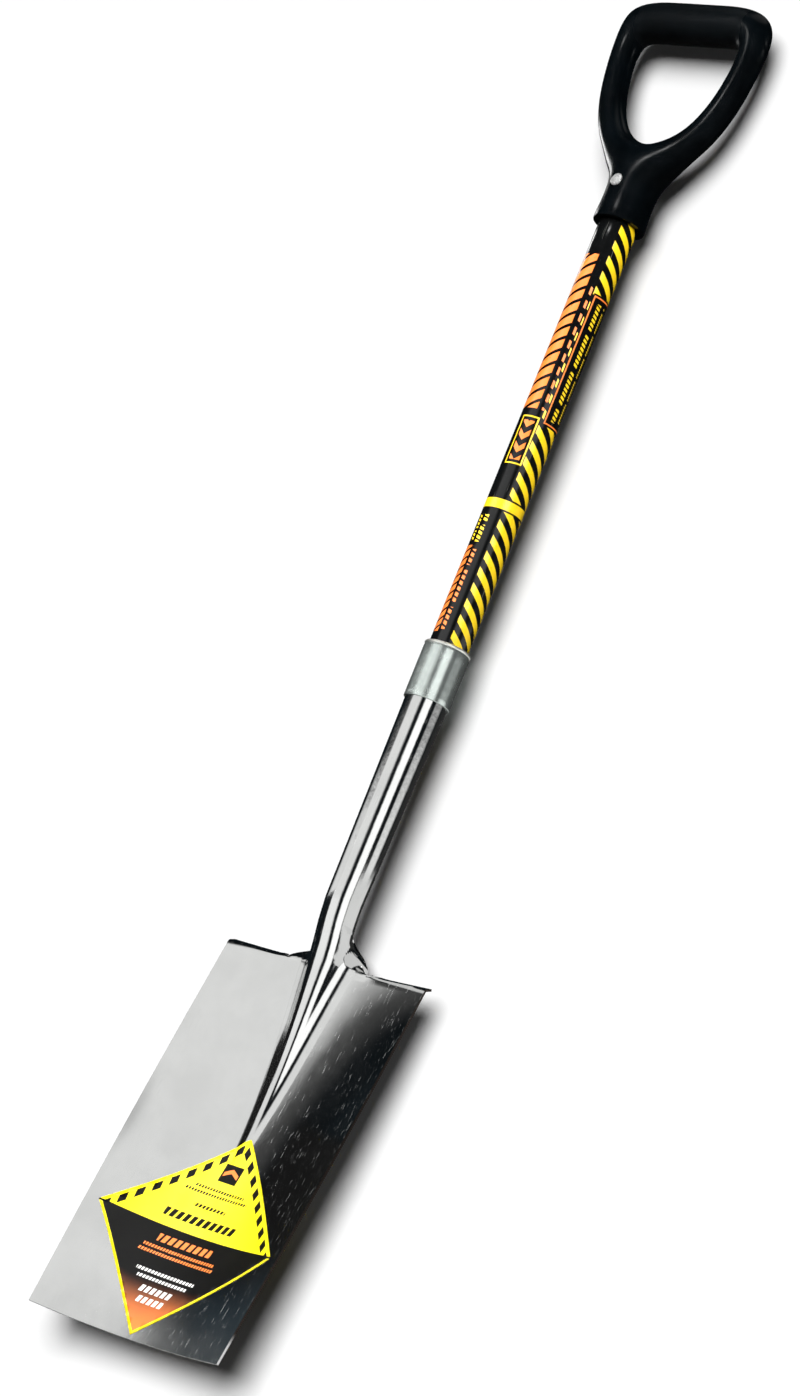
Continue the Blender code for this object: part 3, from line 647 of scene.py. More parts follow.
def wood_finish(colours):
    f = Finish("plug wood", 0.7)
    fibres = f.drawn((1.0, 1.0, 0.05), 420.0, 4.0, 0.6)
    lay = f.stretched(f.place, (1.0, 0.4, 0.02))
    rings = f.add("ShaderNodeTexWave", {"Vector": lay, "Scale": 90.0, "Distortion": 3.0})
    base = f.tones(rings, colours.wood, 0.75, 1.15)
    f.set("Base Color", f.blend(f.product(fibres, 0.5), base, tone(colours.wood, 0.55)))
    f.set("Roughness", f.ramp(fibres, 0.3, 0.7, 0.60, 0.78))
    return f.relief(fibres, 0.0001, 0.6)


# Meshes


def smooth_step(value):
    """Ease from 0 to 1 as value runs from 0 to 1."""
    t = min(max(value, 0.0), 1.0)
    return t * t * (3.0 - 2.0 * t)


def values(context, *names):
    """Property groups of the scene, as plain numbers."""
    groups = [getattr(context.scene, f"spade_{name}") for name in names]
    return [SimpleNamespace(**{key: getattr(g, key) for key in g.__annotations__}) for g in groups]


def named_collection(name):
    """One of two collections, Spade and Studio, which the lamps are linked to."""
    found = bpy.data.collections.get(name)
    if found is None:
        found = bpy.data.collections.new(name)
        bpy.context.scene.collection.children.link(found)
    return found


def add_piece(name, shape, materials, replaced, sharp_degrees=50.0):
    """Turn a bmesh into a named, smooth-shaded piece that stands for a CAD node."""
    mesh = bpy.data.meshes.new(name)
    shape.to_mesh(mesh)
    shape.free()
    mesh.shade_smooth()
    mesh.set_sharp_from_angle(angle=math.radians(sharp_degrees))
    for material in materials:
        mesh.materials.append(material)
    piece = bpy.data.objects.new(name, mesh)
    named_collection("Spade").objects.link(piece)
    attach(piece, "root")
    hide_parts(replaced)
    return piece


def dress_node(name, material):
    """Give a CAD node that stays its finish."""
    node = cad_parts[name]
    if node.material_slots:
        node.material_slots[0].material = material
    else:
        node.data.materials.append(material)
    named_collection("Spade").objects.link(node)


def turned_ring(profile, steps):
    """Turn a closed profile of (radius, height) points, none on the axis, about Z."""
    shape = bmesh.new()
    rings = []
    for step in range(steps):
        turn = 2.0 * math.pi * step / steps
        rings.append([
            shape.verts.new((r * math.cos(turn), r * math.sin(turn), z)) for r, z in profile
        ])
    for step in range(steps):
        here = rings[step]
        there = rings[(step + 1) % steps]
        for k in range(len(profile)):
            after = (k + 1) % len(profile)
            shape.faces.new((here[k], there[k], there[after], here[after]))
    bmesh.ops.recalc_face_normals(shape, faces=shape.faces)
    return shape


# The pressed sheet's front, by station along it and distance out along each section


def dish_depth(s, station):
    if station <= s.dish_deep_at:
        share = 2.0 * smooth_step(0.5 + 0.5 * station / s.dish_deep_at) - 1.0
        return s.dish_step + (s.dish_deep - s.dish_step) * share
    share = (station - s.dish_deep_at) / (s.blade_length - s.dish_deep_at)
    return s.dish_deep + (s.dish_edge - s.dish_deep) * smooth_step(share)


def blade_half_width(s, station):
    share = min(max(station / s.blade_length, 0.0), 1.0)
    straight = s.top_width + (s.edge_width - s.top_width) * share
    return 0.5 * straight + s.side_swell * math.sin(math.pi * share)


def ridge_height(s, station):
    return s.ridge_height * max(1.0 - station / s.ridge_length, 0.0) ** s.ridge_fall


def ridge_half_width(s, station):
    share = (ridge_height(s, station) / s.ridge_height) ** s.ridge_narrowing
    return s.ridge_tip + (s.ridge_half - s.ridge_tip) * share


def crest_share(s, station):
    return s.crest + (s.crest_neck - s.crest) * math.exp(-station / s.neck_length)


def neck_share(s, station):
    return smooth_step(-station / s.neck_length)


def tube_radius(s, station):
    rise = max(-station - s.neck_length, 0.0)
    full = s.socket_length + s.socket_hidden
    return s.socket_neck + (s.socket_top - s.socket_neck) * rise / full


def cross_section(s, station):
    """The crest's and the foot's radius, and the slopes where the crest and the foot end."""
    height = ridge_height(s, max(station, 0.0))
    half = ridge_half_width(s, max(station, 0.0))
    turn = 2.0 * math.atan2(max(height, 0.00002), half)
    both = half / math.sin(turn)
    crest = both * crest_share(s, max(station, 0.0))
    foot = both - crest
    if station >= 0.0:
        return crest, foot, turn, 0.0
    share = neck_share(s, station)
    crest += (tube_radius(s, station) - crest) * share
    turn += (math.pi - turn) * share
    return crest, foot, turn, turn * smooth_step(2.0 * share)


def crest_offset(s, station):
    """How far the crest of the sheet stands in front of its spine."""
    if station >= 0.0:
        return ridge_height(s, station) - dish_depth(s, station)
    nudge = 0.001
    on_blade = crest_offset(s, 0.0)
    slope = (on_blade - crest_offset(s, nudge)) / nudge
    on_socket = s.socket_top + spine_point(s, -s.neck_length)[0]
    t = min(-station / s.neck_length, 1.0)
    bulge = slope * s.neck_length * t * (1.0 - t) ** 2
    return on_blade + (on_socket - on_blade) * smooth_step(t) + bulge


def spine_turn(s, station):
    return s.lift * (1.0 - smooth_step(-station / s.neck_length))


def spine_point(s, station):
    """Place of the spine in the YZ plane: straight down the blade and up the socket."""
    if station >= 0.0:
        return s.setback - station * math.sin(s.lift), s.top_height - station * math.cos(s.lift)
    bent = max(station, -s.neck_length)
    steps = 24
    y, z = s.setback, s.top_height
    for k in range(steps):
        turn = spine_turn(s, bent * (k + 0.5) / steps)
        y -= math.sin(turn) * bent / steps
        z -= math.cos(turn) * bent / steps
    return y, z - min(station + s.neck_length, 0.0)


def sheet_point(s, station, out):
    """A point of the front surface, before the steps are turned back."""
    crest, foot, turn, end = cross_section(s, station)
    run = abs(out)
    bend = min(run / crest, turn)
    x = crest * math.sin(bend)
    back = crest * (1.0 - math.cos(bend))
    run -= crest * turn
    if run > 0.0:
        bend = max(turn - run / foot, end)
        x += foot * (math.sin(turn) - math.sin(bend))
        back += foot * (math.cos(bend) - math.cos(turn))
        run -= foot * (turn - end)
    if run > 0.0:
        x += run * math.cos(end)
        back += run * math.sin(end)
    half = 0.5 * s.top_width if station < 0.0 else blade_half_width(s, station)
    dish = dish_depth(s, max(station, 0.0)) * (1.0 - neck_share(s, station))
    front = crest_offset(s, station) - back + dish * (x / half) ** 2
    bend = spine_turn(s, station)
    y, z = spine_point(s, station)
    x = math.copysign(x, out)
    return Vector((x, y - math.cos(bend) * front, z + math.sin(bend) * front))


def out_at(s, station, x):
    """Distance out along a section of the blade of a point that lies x from its middle."""
    crest, foot, turn, _ = cross_section(s, station)
    if x <= crest * math.sin(turn):
        return crest * math.asin(x / crest)
    half = (crest + foot) * math.sin(turn)
    if x <= half:
        return crest * turn + foot * (turn - math.asin((half - x) / foot))
    return (crest + foot) * turn + x - half


def neck_reach(s, station):
    """How far out the middle columns reach: to the step's inner end, or the sheet's edge."""
    if station >= -s.step_width:
        return out_at(s, max(station, 0.0), s.neck_half)
    seam = math.pi * tube_radius(s, station) - 0.5 * s.seam_gap
    fall = min((-station - s.step_width) / s.neck_fillet, 1.0)
    arc = 1.0 - math.sqrt(max(1.0 - (1.0 - fall) ** 2, 0.0))
    return seam + (out_at(s, 0.0, s.neck_half) - seam) * arc


def step_point(s, station, out):
    """Front of the step, turned back about the line at the top of the blade."""
    turn = min(-station / s.step_bend, s.step_turn)
    straight = -station - turn * s.step_bend
    up = s.step_bend * math.sin(turn) + straight * math.cos(turn)
    back = s.step_bend * (1.0 - math.cos(turn)) + straight * math.sin(turn)
    along = Vector((0.0, math.sin(s.lift), math.cos(s.lift)))
    behind = Vector((0.0, math.cos(s.lift), -math.sin(s.lift)))
    return sheet_point(s, 0.0, out) + along * up + behind * back


def height_share(s, out):
    """Share of the step's width that is left at this distance out."""
    start, middle, end = [out_at(s, 0.0, x) for x in (s.pinch_start, s.pinch, s.pinch_end)]
    if abs(out) <= middle:
        return 1.0 - s.pinch_share * smooth_step((abs(out) - start) / (middle - start))
    return 1.0 - s.pinch_share * (1.0 - smooth_step((abs(out) - middle) / (end - middle)))


def lowered(s, station, out):
    """Station after the step has been narrowed where it meets the neck."""
    share = height_share(s, out)
    if station >= -s.step_width:
        return station * share
    fade = 1.0 - smooth_step((-station - s.step_width) / s.neck_fillet)
    return station + (1.0 - share) * s.step_width * fade


def formed_point(s, station, out):
    """A point of the formed sheet, neck, step and all."""
    if station >= 0.0:
        return sheet_point(s, station, out)
    low = lowered(s, station, out)
    before_pinch = 0.002
    inner = out_at(s, 0.0, s.pinch - before_pinch)
    outer = out_at(s, 0.0, s.pinch_end)
    share = smooth_step((abs(out) - inner) / (outer - inner))
    if station < -s.step_width:
        share *= 1.0 - smooth_step((-station - s.step_width) / (0.6 * s.neck_fillet))
    if share == 0.0:
        return sheet_point(s, low, out)
    return sheet_point(s, low, out).lerp(step_point(s, low, out), share)


def sheet_stations(s):
    """Rows of the sheet, from the cutting edge up to the socket's mouth."""
    rows_step, rows_fillet, rows_socket = 9, 16, 24
    rows = even(s.blade_length, s.ridge_length, s.rows_blade)[:-1]
    rows += even(s.ridge_length, 0.0, s.rows_ridge)
    rows += even(0.0, -s.step_width, rows_step)[1:]
    for k in range(1, rows_fillet + 1):
        ease = 1.0 - math.cos(0.5 * math.pi * k / rows_fillet)
        rows.append(-s.step_width - s.neck_fillet * ease)
    full = s.neck_length + s.socket_length + s.socket_hidden
    rows += even(rows[-1], -full, rows_socket)[1:]
    return rows


def relax_neck(s, rows, stations, rounds):
    """Even out the sheet between the step and the socket, as pressing does."""
    for _ in range(rounds):
        moved = []
        for r, station in enumerate(stations):
            if not -0.95 * s.neck_length < station < -0.5 * s.step_width:
                continue
            last = max(rows[r])
            for k, vert in rows[r].items():
                near = [rows[r + 1].get(k), rows[r - 1].get(k)]
                if None in near:
                    continue
                if abs(k) != last:
                    near += [rows[r][k - 1], rows[r][k + 1]]
                target = sum((v.co for v in near), Vector()) / len(near)
                moved.append((vert, vert.co.lerp(target, 0.5)))
        for vert, place in moved:
            vert.co = place


def pressed_sheet(s):
    """The whole front surface as a bmesh, its faces turned to the front."""
    shape = bmesh.new()
    rows = []
    stations = sheet_stations(s)
    for station in stations:
        reach = neck_reach(s, station)
        outs = [reach * k / s.columns for k in range(s.columns + 1)]
        if station >= -s.step_width - 0.000001:
            edge = out_at(s, max(station, 0.0), blade_half_width(s, station))
            outs += even(reach, edge, s.columns_outer + 1)[1:]
        row = {}
        for k, out in enumerate(outs):
            row[k] = shape.verts.new(formed_point(s, station, out))
            if k:
                row[-k] = shape.verts.new(formed_point(s, station, -out))
        rows.append(row)
    relax_neck(s, rows, stations, rounds=12)
    widest = s.columns + s.columns_outer
    for low, high in zip(rows, rows[1:]):
        for k in range(-widest, widest):
            corners = [low.get(k), low.get(k + 1), high.get(k + 1), high.get(k)]
            if None not in corners:
                shape.faces.new(corners)
    shape.normal_update()
    return shape


def even(start, end, number):
    """Evenly spaced numbers from start to end."""
    return [start + (end - start) * k / (number - 1) for k in range(number)]


def thicken(piece, thickness, edge_round, rim_material):
    """Give a sheet its thickness, behind its front, and its edges a small round."""
    solid = piece.modifiers.new("sheet thickness", "SOLIDIFY")
    solid.thickness = thickness
    solid.offset = -1.0
    solid.use_even_offset = True
    solid.use_rim = True
    solid.material_offset_rim = rim_material
    rounded = piece.modifiers.new("edge round", "BEVEL")
    rounded.width = edge_round
    rounded.segments = 2
    rounded.material = rim_material
    rounded.limit_method = "ANGLE"
    rounded.angle_limit = math.radians(60.0)
    rounded.harden_normals = True


class SPADE_OT_blade(bpy.types.Operator):
    """Build the blade, ridge, steps, neck and socket from one formed sheet"""

    bl_idname = "spade.blade"
    bl_label = "Blade and socket"

    def execute(self, context):
        sizes, colours = values(context, "sheet", "colours")
        materials = [steel_finish(colours), cut_edge_finish(colours)]
        shape = pressed_sheet(sizes)
        blade = add_piece("blade_sheet", shape, materials, "blade", 60.0)
        thicken(blade, sizes.thickness, edge_round=0.00035, rim_material=1)
        return {"FINISHED"}


class SPADE_OT_label(bpy.types.Operator):
    """Stick the square label on the blade"""

    bl_idname = "spade.label"
    bl_label = "Label"

    def execute(self, context):
        sizes, sheet, colours = values(context, "label", "sheet", "colours")
        half = 0.5 * sizes.diagonal
        station = sizes.top + half
        centre = sheet_point(sheet, station, out_at(sheet, station, sizes.aside))
        down = Vector((0.0, -math.sin(sheet.lift), -math.cos(sheet.lift)))
        right = Vector((1.0, 0.0, 0.0))
        across = right * math.cos(sizes.turn) + down * math.sin(sizes.turn)
        along = down * math.cos(sizes.turn) - right * math.sin(sizes.turn)
        shape = pressed_sheet(sheet)
        for side in range(4):
            turn = math.radians(45.0 + 90.0 * side)
            outward = across * math.cos(turn) + along * math.sin(turn)
            bmesh.ops.bisect_plane(
                shape,
                geom=shape.verts[:] + shape.edges[:] + shape.faces[:],
                dist=0.00001,
                plane_co=centre + outward * half * math.sqrt(0.5),
                plane_no=outward,
                clear_outer=True,
            )
        shape.normal_update()
        for vert, place in [(v, v.co + v.normal * sizes.gap) for v in shape.verts]:
            vert.co = place
        material = label_finish(colours, sizes, centre, across, along)
        label = add_piece("label_vinyl", shape, [material], "blade_label", 60.0)
        solid = label.modifiers.new("vinyl thickness", "SOLIDIFY")
        solid.thickness = sizes.thickness
        solid.offset = 1.0
        return {"FINISHED"}


class SPADE_OT_film(bpy.types.Operator):
    """Shrink the printed film on the shaft"""

    bl_idname = "spade.film"
    bl_label = "Printed film"

    def execute(self, context):
        sizes, colours = values(context, "handle", "colours")
        inner = sizes.film - sizes.film_thickness
        roll = 0.45 * sizes.film_thickness
        profile = [(inner, sizes.film_bottom), (sizes.film - roll, sizes.film_bottom)]
        profile += [(sizes.film, z) for z in even(sizes.film_bottom + roll, sizes.film_top - roll, 13)]
        profile += [(sizes.film - roll, sizes.film_top), (inner, sizes.film_top)]
        shape = turned_ring(profile, sizes.steps)
        add_piece("film_sleeve", shape, [film_finish(colours, sizes)], "handle_wrap")
        return {"FINISHED"}


class SPADE_OT_collar(bpy.types.Operator):
    """Build the plated collar with its curled top rim"""

    bl_idname = "spade.collar"
    bl_label = "Collar"

    def execute(self, context):
        sizes, colours = values(context, "handle", "colours")
        inner = sizes.collar_inner
        outer = inner + sizes.collar_wall
        clearance = 0.00012
        throat = sizes.film + clearance
        top = sizes.collar_top
        bottom = sizes.collar_bottom
        round_edge = 0.00035
        profile = [(inner, bottom), (outer - round_edge, bottom)]
        profile += [(outer - 0.3 * round_edge, bottom + 0.3 * round_edge), (outer, bottom + round_edge)]
        profile += [(outer, z) for z in even(bottom + 0.004, top - 0.0045, 8)]
        profile.append((outer - 0.00015, top - 0.0033))
        curl = 0.0013
        overhang = 0.0003
        centre = outer + overhang - curl
        for k in range(9):
            turn = math.radians(-60.0 + 150.0 * k / 8.0)
            profile.append((centre + curl * math.cos(turn), top - curl + curl * math.sin(turn)))
        profile += [(throat + 0.0004, top - 0.0001), (throat, top - 0.0006)]
        profile += [(throat, top - 0.0012), (inner, top - 0.0030)]
        shape = turned_ring(profile, sizes.steps)
        material = zinc_finish(colours, top)
        add_piece("collar_sleeve", shape, [material], "steel_collar", 60.0)
        return {"FINISHED"}


def oval_ring(shape, inner, outer, half_depth):
    """Eight corners round a leg, from its inner side past its front, outer side and back."""
    centre = (Vector(inner) + Vector(outer)) * 0.5
    across = (Vector(outer) - Vector(inner)) * 0.5
    ring = []
    for k in range(8):
        turn = math.pi + k * math.pi / 4.0
        spread = centre + across * math.cos(turn)
        ring.append(shape.verts.new((spread.x, half_depth * math.sin(turn), spread.y)))
    return ring


def round_ring(shape, radius_x, radius_y, z):
    """Twelve corners round the ferrule, from its front towards +X and on round."""
    ring = []
    for k in range(12):
        turn = -0.5 * math.pi + 2.0 * math.pi * k / 12
        ring.append(shape.verts.new((radius_x * math.cos(turn), radius_y * math.sin(turn), z)))
    return ring


def bridge(shape, one, other):
    for k in range(len(one)):
        after = (k + 1) % len(one)
        shape.faces.new((one[k], one[after], other[after], other[k]))


def crease_ring(shape, layer, ring, value):
    for k, vert in enumerate(ring):
        shape.edges.get((vert, ring[(k + 1) % len(ring)]))[layer] = value


def grip_cage(s, bore):
    """Cage of the grip, swollen by what smoothing leaves of its rings' radii."""
    bar = s.bar / s.share_8
    depth = s.leg_depth / s.share_8
    pad = s.leg_half * (1.0 / s.share_8 - 1.0)
    reach = s.half_width
    inside = s.half_width - 2.0 * s.leg_half
    hole = s.hole
    middle = s.bar
    shape = bmesh.new()

    # Right half of the loop, from the bar's middle round the corner and down the leg
    rings = [
        ((0.0, middle - bar), (0.0, middle + bar), bar),
        ((0.56 * inside, middle - bar), (0.34 * reach, middle + bar), bar),
        ((0.84 * inside, middle - bar), (0.62 * reach, middle + 0.98 * bar), bar),
        ((0.985 * inside - pad, -0.19 * bar), (0.98 * reach + pad, middle + 0.60 * bar), 0.90 * bar),
        ((inside - pad, -0.17 * hole), (1.02 * reach + pad, -0.05 * hole), depth),
        ((0.95 * inside - pad, -0.38 * hole), (0.985 * reach + pad, -0.33 * hole), depth),
        ((0.85 * inside - pad, -0.61 * hole), (0.925 * reach + pad, -0.62 * hole), depth),
        ((0.63 * inside - pad, -0.845 * hole), (0.79 * reach + pad, -0.92 * hole), depth),
        ((0.32 * inside - pad, -0.985 * hole), (0.60 * reach + pad, -1.12 * hole), 1.08 * depth),
    ]
    right = []
    left = []
    for place, (inner, outer, half_depth) in enumerate(rings):
        ring = oval_ring(shape, inner, outer, half_depth)
        right.append(ring)
        if place:
            ring = [shape.verts.new((-v.co.x, v.co.y, v.co.z)) for v in ring]
        left.append(ring)

    # Yoke, whose front, back and saddle corners the two legs share
    ferrule = s.ferrule / s.share_12
    front = shape.verts.new((0.0, -0.93 * ferrule, -1.16 * hole))
    back = shape.verts.new((0.0, 0.93 * ferrule, -1.16 * hole))
    saddle = shape.verts.new((0.0, 0.0, -0.99 * hole))
    right_side = []
    left_side = []
    for k in range(1, 6):
        turn = -0.5 * math.pi + math.pi * k / 6.0
        x = s.spread * ferrule * math.cos(turn)
        y = 0.98 * ferrule * math.sin(turn)
        z = -(1.17 + 0.10 * math.cos(turn)) * hole
        right_side.append(shape.verts.new((x, y, z)))
        left_side.append(shape.verts.new((-x, y, z)))
    right.append([saddle, front, *right_side, back])
    left.append([saddle, front, *left_side, back])

    # Ferrule down to its flared lip, and the bore up inside it
    lip = s.lip / s.share_12
    hollow = bore / s.share_12
    bevel = 0.0003
    mouth = 0.0004
    trunk = [[front, *right_side, back, *reversed(left_side)]]
    for radius_x, radius_y, z in [
        (1.13 * ferrule, ferrule, 0.5 * (RIVET_PLACE - 1.27 * hole)),
        (ferrule, ferrule, RIVET_PLACE),
        (ferrule, ferrule, s.bottom + 1.6 * s.lip_height),
        (lip, lip, s.bottom + 0.7 * s.lip_height),
        (lip, lip, s.bottom + 0.0009),
        (lip - bevel, lip - bevel, s.bottom),
        (hollow + mouth, hollow + mouth, s.bottom),
        (hollow, hollow, s.bottom + 0.0008),
        (hollow, hollow, s.bottom + 0.020),
        (hollow, hollow, s.tube_top + 0.0003),
    ]:
        trunk.append(round_ring(shape, radius_x, radius_y, z))
    for one, other in zip(right, right[1:]):
        bridge(shape, one, other)
    for one, other in zip(left, left[1:]):
        bridge(shape, other, one)
    for one, other in zip(trunk, trunk[1:]):
        bridge(shape, other, one)
    shape.faces.new(trunk[-1])
    bmesh.ops.recalc_face_normals(shape, faces=shape.faces)
    layer = shape.edges.layers.float.new("crease_edge")
    for ring in trunk[-6:-3]:
        crease_ring(shape, layer, ring, 0.55)
    crease_ring(shape, layer, trunk[-1], 1.0)
    return shape


def add_boss(shape, place, outward, radius, height):
    """A low round boss on a moulding, such as the injection point leaves."""
    lay = Vector(outward).to_track_quat("Z", "Y").to_matrix().to_4x4()
    bmesh.ops.create_cone(
        shape,
        cap_ends=True,
        segments=20,
        radius1=radius,
        radius2=radius * 0.8,
        depth=2.0 * height,
        matrix=Matrix.Translation(place) @ lay,
    )


class SPADE_OT_grip(bpy.types.Operator):
    """Mould the D grip"""

    bl_idname = "spade.grip"
    bl_label = "D grip"

    def execute(self, context):
        sizes, handle, colours = values(context, "grip", "handle", "colours")
        clearance = 0.0003
        shape = grip_cage(sizes, handle.film + clearance)
        material = plastic_finish(colours)
        grip = add_piece("grip_moulding", shape, [material], "d_grip", 180.0)
        smooth = grip.modifiers.new("smooth moulding", "SUBSURF")
        smooth.levels = sizes.smoothing
        smooth.render_levels = sizes.smoothing
        graph = context.evaluated_depsgraph_get()
        moulded = bpy.data.meshes.new_from_object(grip.evaluated_get(graph))
        grip.modifiers.clear()
        shape = bmesh.new()
        shape.from_mesh(moulded)
        bar_end = (sizes.half_width + 0.0002, -0.0014, 0.0)
        above_rivet = (0.0188, -0.0110, -0.1200)
        add_boss(shape, bar_end, (0.97, -0.25, 0.0), radius=0.0028, height=0.0005)
        add_boss(shape, above_rivet, (0.72, -0.62, -0.30), radius=0.0020, height=0.0004)
        shape.to_mesh(moulded)
        shape.free()
        grip.data = moulded
        return {"FINISHED"}


class SPADE_OT_rivet(bpy.types.Operator):
    """Set the rivet through the grip"""

    bl_idname = "spade.rivet"
    bl_label = "Rivet"

    def execute(self, context):
        sizes, colours = values(context, "handle", "colours")
        flat_top = 0.0003
        rim_share = 0.25
        undercut = 0.0002
        seat = [(r, sizes.rivet_seat) for r in (sizes.rivet_shank, sizes.rivet_head - undercut)]
        dome = []
        for k in range(9):
            turn = 0.5 * math.pi * k / 8
            radius = sizes.rivet_head * math.cos(turn)
            height = sizes.rivet_rise * (rim_share + (1.0 - rim_share) * math.sin(turn))
            dome.append((max(radius, flat_top), sizes.rivet_seat + height))
        top = seat + dome
        profile = [(r, -z) for r, z in reversed(top)] + top
        shape = bmesh.new()
        steps = 40
        rings = []
        for r, z in profile:
            turns = [2.0 * math.pi * k / steps for k in range(steps)]
            rings.append([shape.verts.new((r * math.cos(t), r * math.sin(t), z)) for t in turns])
        for low, high in zip(rings, rings[1:]):
            bridge(shape, low, high)
        shape.faces.new(rings[0])
        shape.faces.new(rings[-1])
        bmesh.ops.recalc_face_normals(shape, faces=shape.faces)
        lay = Matrix.Rotation(sizes.rivet_turn, 3, "Z") @ Matrix.Rotation(math.pi / 2.0, 3, "X")
        bmesh.ops.rotate(shape, verts=shape.verts, matrix=lay)
        bmesh.ops.translate(shape, verts=shape.verts, vec=(0.0, 0.0, sizes.rivet_height))
        add_piece("rivet_set", shape, [rivet_finish(colours)], "grip_rivet", 60.0)
        return {"FINISHED"}


class SPADE_OT_inside(bpy.types.Operator):
    """Give the tube, its core and its plug their finishes"""

    bl_idname = "spade.inside"
    bl_label = "Tube, core and plug"

    def execute(self, context):
        colours = values(context, "colours")[0]
        dress_node("handle_tube", fibreglass_finish(colours))
        dress_node("core_rod", resin_finish(colours))
        dress_node("grip_plug", wood_finish(colours))
        return {"FINISHED"}


# Studio


WHITE = (1.0, 1.0, 1.0)
COOL = (0.55, 0.80, 1.0)
MIDDLE = (0.0, 0.0)
BESIDE_RIDGE = (0.045, -0.02)
FULL = (-9.0, 9.0)
ALL_ROUND = (-180.0, 180.0)
HARD = (0.5, 0.5, 0.01)

# Upright panels: name, centre, radius, turns, heights, level, fades and tint
PANELS = (
    ("drape_left", MIDDLE, 12.8, (-146.0, -72.0), FULL, 0.014, (1.0, 6.0, 0.01), COOL),
    ("drape_front", MIDDLE, 13.0, (-84.0, 145.0), FULL, 0.009, HARD, COOL),
    ("drape_back", MIDDLE, 13.1, (140.0, 222.0), FULL, 0.030, HARD, WHITE),
    ("panel_main", MIDDLE, 12.0, (-46.0, 13.0), (-9.0, 6.8), 1.0, (5.0, 13.0, 0.6), WHITE),
    ("panel_step", MIDDLE, 12.3, (-50.5, -41.0), (2.0, 4.6), 0.45, (5.0, 0.5, 2.4), WHITE),
    ("panel_low", MIDDLE, 12.2, (-96.0, -40.0), (0.8, 2.12), 1.0, (24.0, 0.5, 0.2), WHITE),
    ("panel_tail", MIDDLE, 12.5, (-64.0, -45.0), (2.0, 6.8), 0.07, (15.0, 0.5, 2.0), WHITE),
    ("panel_bright", MIDDLE, 12.0, (25.0, 69.0), (-9.0, 5.0), 1.5, (9.0, 7.0, 0.5), WHITE),
    ("panel_right", MIDDLE, 12.0, (85.0, 140.0), (-9.0, 2.6), 1.2, (9.0, 18.0, 1.3), WHITE),
    ("panel_behind", MIDDLE, 12.0, (150.0, 215.0), (-9.0, -1.8), 0.8, (8.0, 8.0, 0.4), WHITE),
    ("flag_top", MIDDLE, 1.5, ALL_ROUND, (0.42, 1.70), 0.008, HARD, COOL),
    ("card_low", BESIDE_RIDGE, 0.3, (-100.0, -48.0), (-1.3, -0.86), 0.055, (1.0, 12.0, 0.07), COOL),
    ("flag_grip", MIDDLE, 0.36, ALL_ROUND, (-0.17, 0.60), 0.006, HARD, COOL),
    ("card_bar", MIDDLE, 0.35, (-54.0, -24.0), (-0.03, 0.24), 0.05, (8.0, 8.0, 0.16), COOL),
    ("card_leg", MIDDLE, 0.34, (-14.0, -2.0), (0.03, 0.08), 14.0, (3.0, 3.0, 0.02), WHITE),
    ("card_rim", MIDDLE, 0.34, (-112.0, -94.0), (-0.09, -0.01), 6.0, (3.0, 3.0, 0.02), WHITE),
    ("card_corner", MIDDLE, 0.34, (118.0, 127.0), (0.13, 0.17), 3.0, (2.0, 2.0, 0.01), WHITE),
    ("card_side", (0.03, 0.005), 0.2, (60.0, 170.0), (-0.752, -0.645), 0.9, (8.0, 8.0, 0.02), WHITE),
    ("card_ridge", BESIDE_RIDGE, 0.31, (-112.0, -61.0), (-1.3, -0.772), 0.01, (1.0, 5.0, 0.006), WHITE),
    ("panel_glow", MIDDLE, 11.9, (-44.0, 13.0), (-9.0, 0.9), 1.15, (3.0, 13.0, 1.2), WHITE),
)

# Level panels: name, two corners, height, level, tint, and whether only their front shows
LEVEL_PANELS = (
    ("flag_under", (-0.36, -0.36), (0.36, 0.36), -0.17, 0.004, COOL, True),
    ("card_web", (0.055, -0.03), (0.015, 0.02), -0.732, 0.8, WHITE, True),
    ("ceiling_dark", (-1.5, -1.5), (1.5, 1.5), 1.69, 0.008, WHITE, False),
    ("ceiling_far", (-13.0, -13.0), (13.0, 13.0), 8.9, 0.01, WHITE, False),
    ("ceiling_left", (-1.25, -1.0), (-0.65, -0.4), 1.6, 2.5, WHITE, False),
    ("ceiling_right", (-0.3, -1.3), (1.4, 1.0), 1.6, 0.25, WHITE, False),
)

SUN_DIRECTION = (-0.15, 1.0, -0.31)
SUN_DEGREES = 47.0

CAMERA_PLACE = (1.7639, -2.2085, -1.2385)
CAMERA_RIGHT = (0.77554, 0.51528, 0.36472)
CAMERA_UP = (-0.15516, -0.40444, 0.90131)
CAMERA_BACK = (0.61193, -0.75559, -0.23371)
CAMERA_LENS = 103.15


def add_stage_mesh(name, shape, material):
    mesh = bpy.data.meshes.new(name)
    shape.to_mesh(mesh)
    shape.free()
    mesh.shade_smooth()
    mesh.materials.append(material)
    thing = bpy.data.objects.new(name, mesh)
    named_collection("Studio").objects.link(thing)
    return thing


def hide_from(thing, *rays):
    for ray in rays:
        setattr(thing, f"visible_{ray}", False)


def backdrop_material(tint):
    """Matt paper that shows from its front only, and glows where it faces up."""
    f = Finish("backdrop paper", 1.0, Specular_IOR_Level=0.0, Base_Color=tint, Emission_Color=WHITE)
    facing = f.split(f.add("ShaderNodeNewGeometry", output="Normal"))[2]
    f.set("Emission Strength", f.ramp(facing, 0.60, 1.0, 0.0, 0.75))
    behind = f.add("ShaderNodeNewGeometry", output="Backfacing")
    f.show(f.minus(1.0, behind), f.shader.outputs[0])
    return f.material


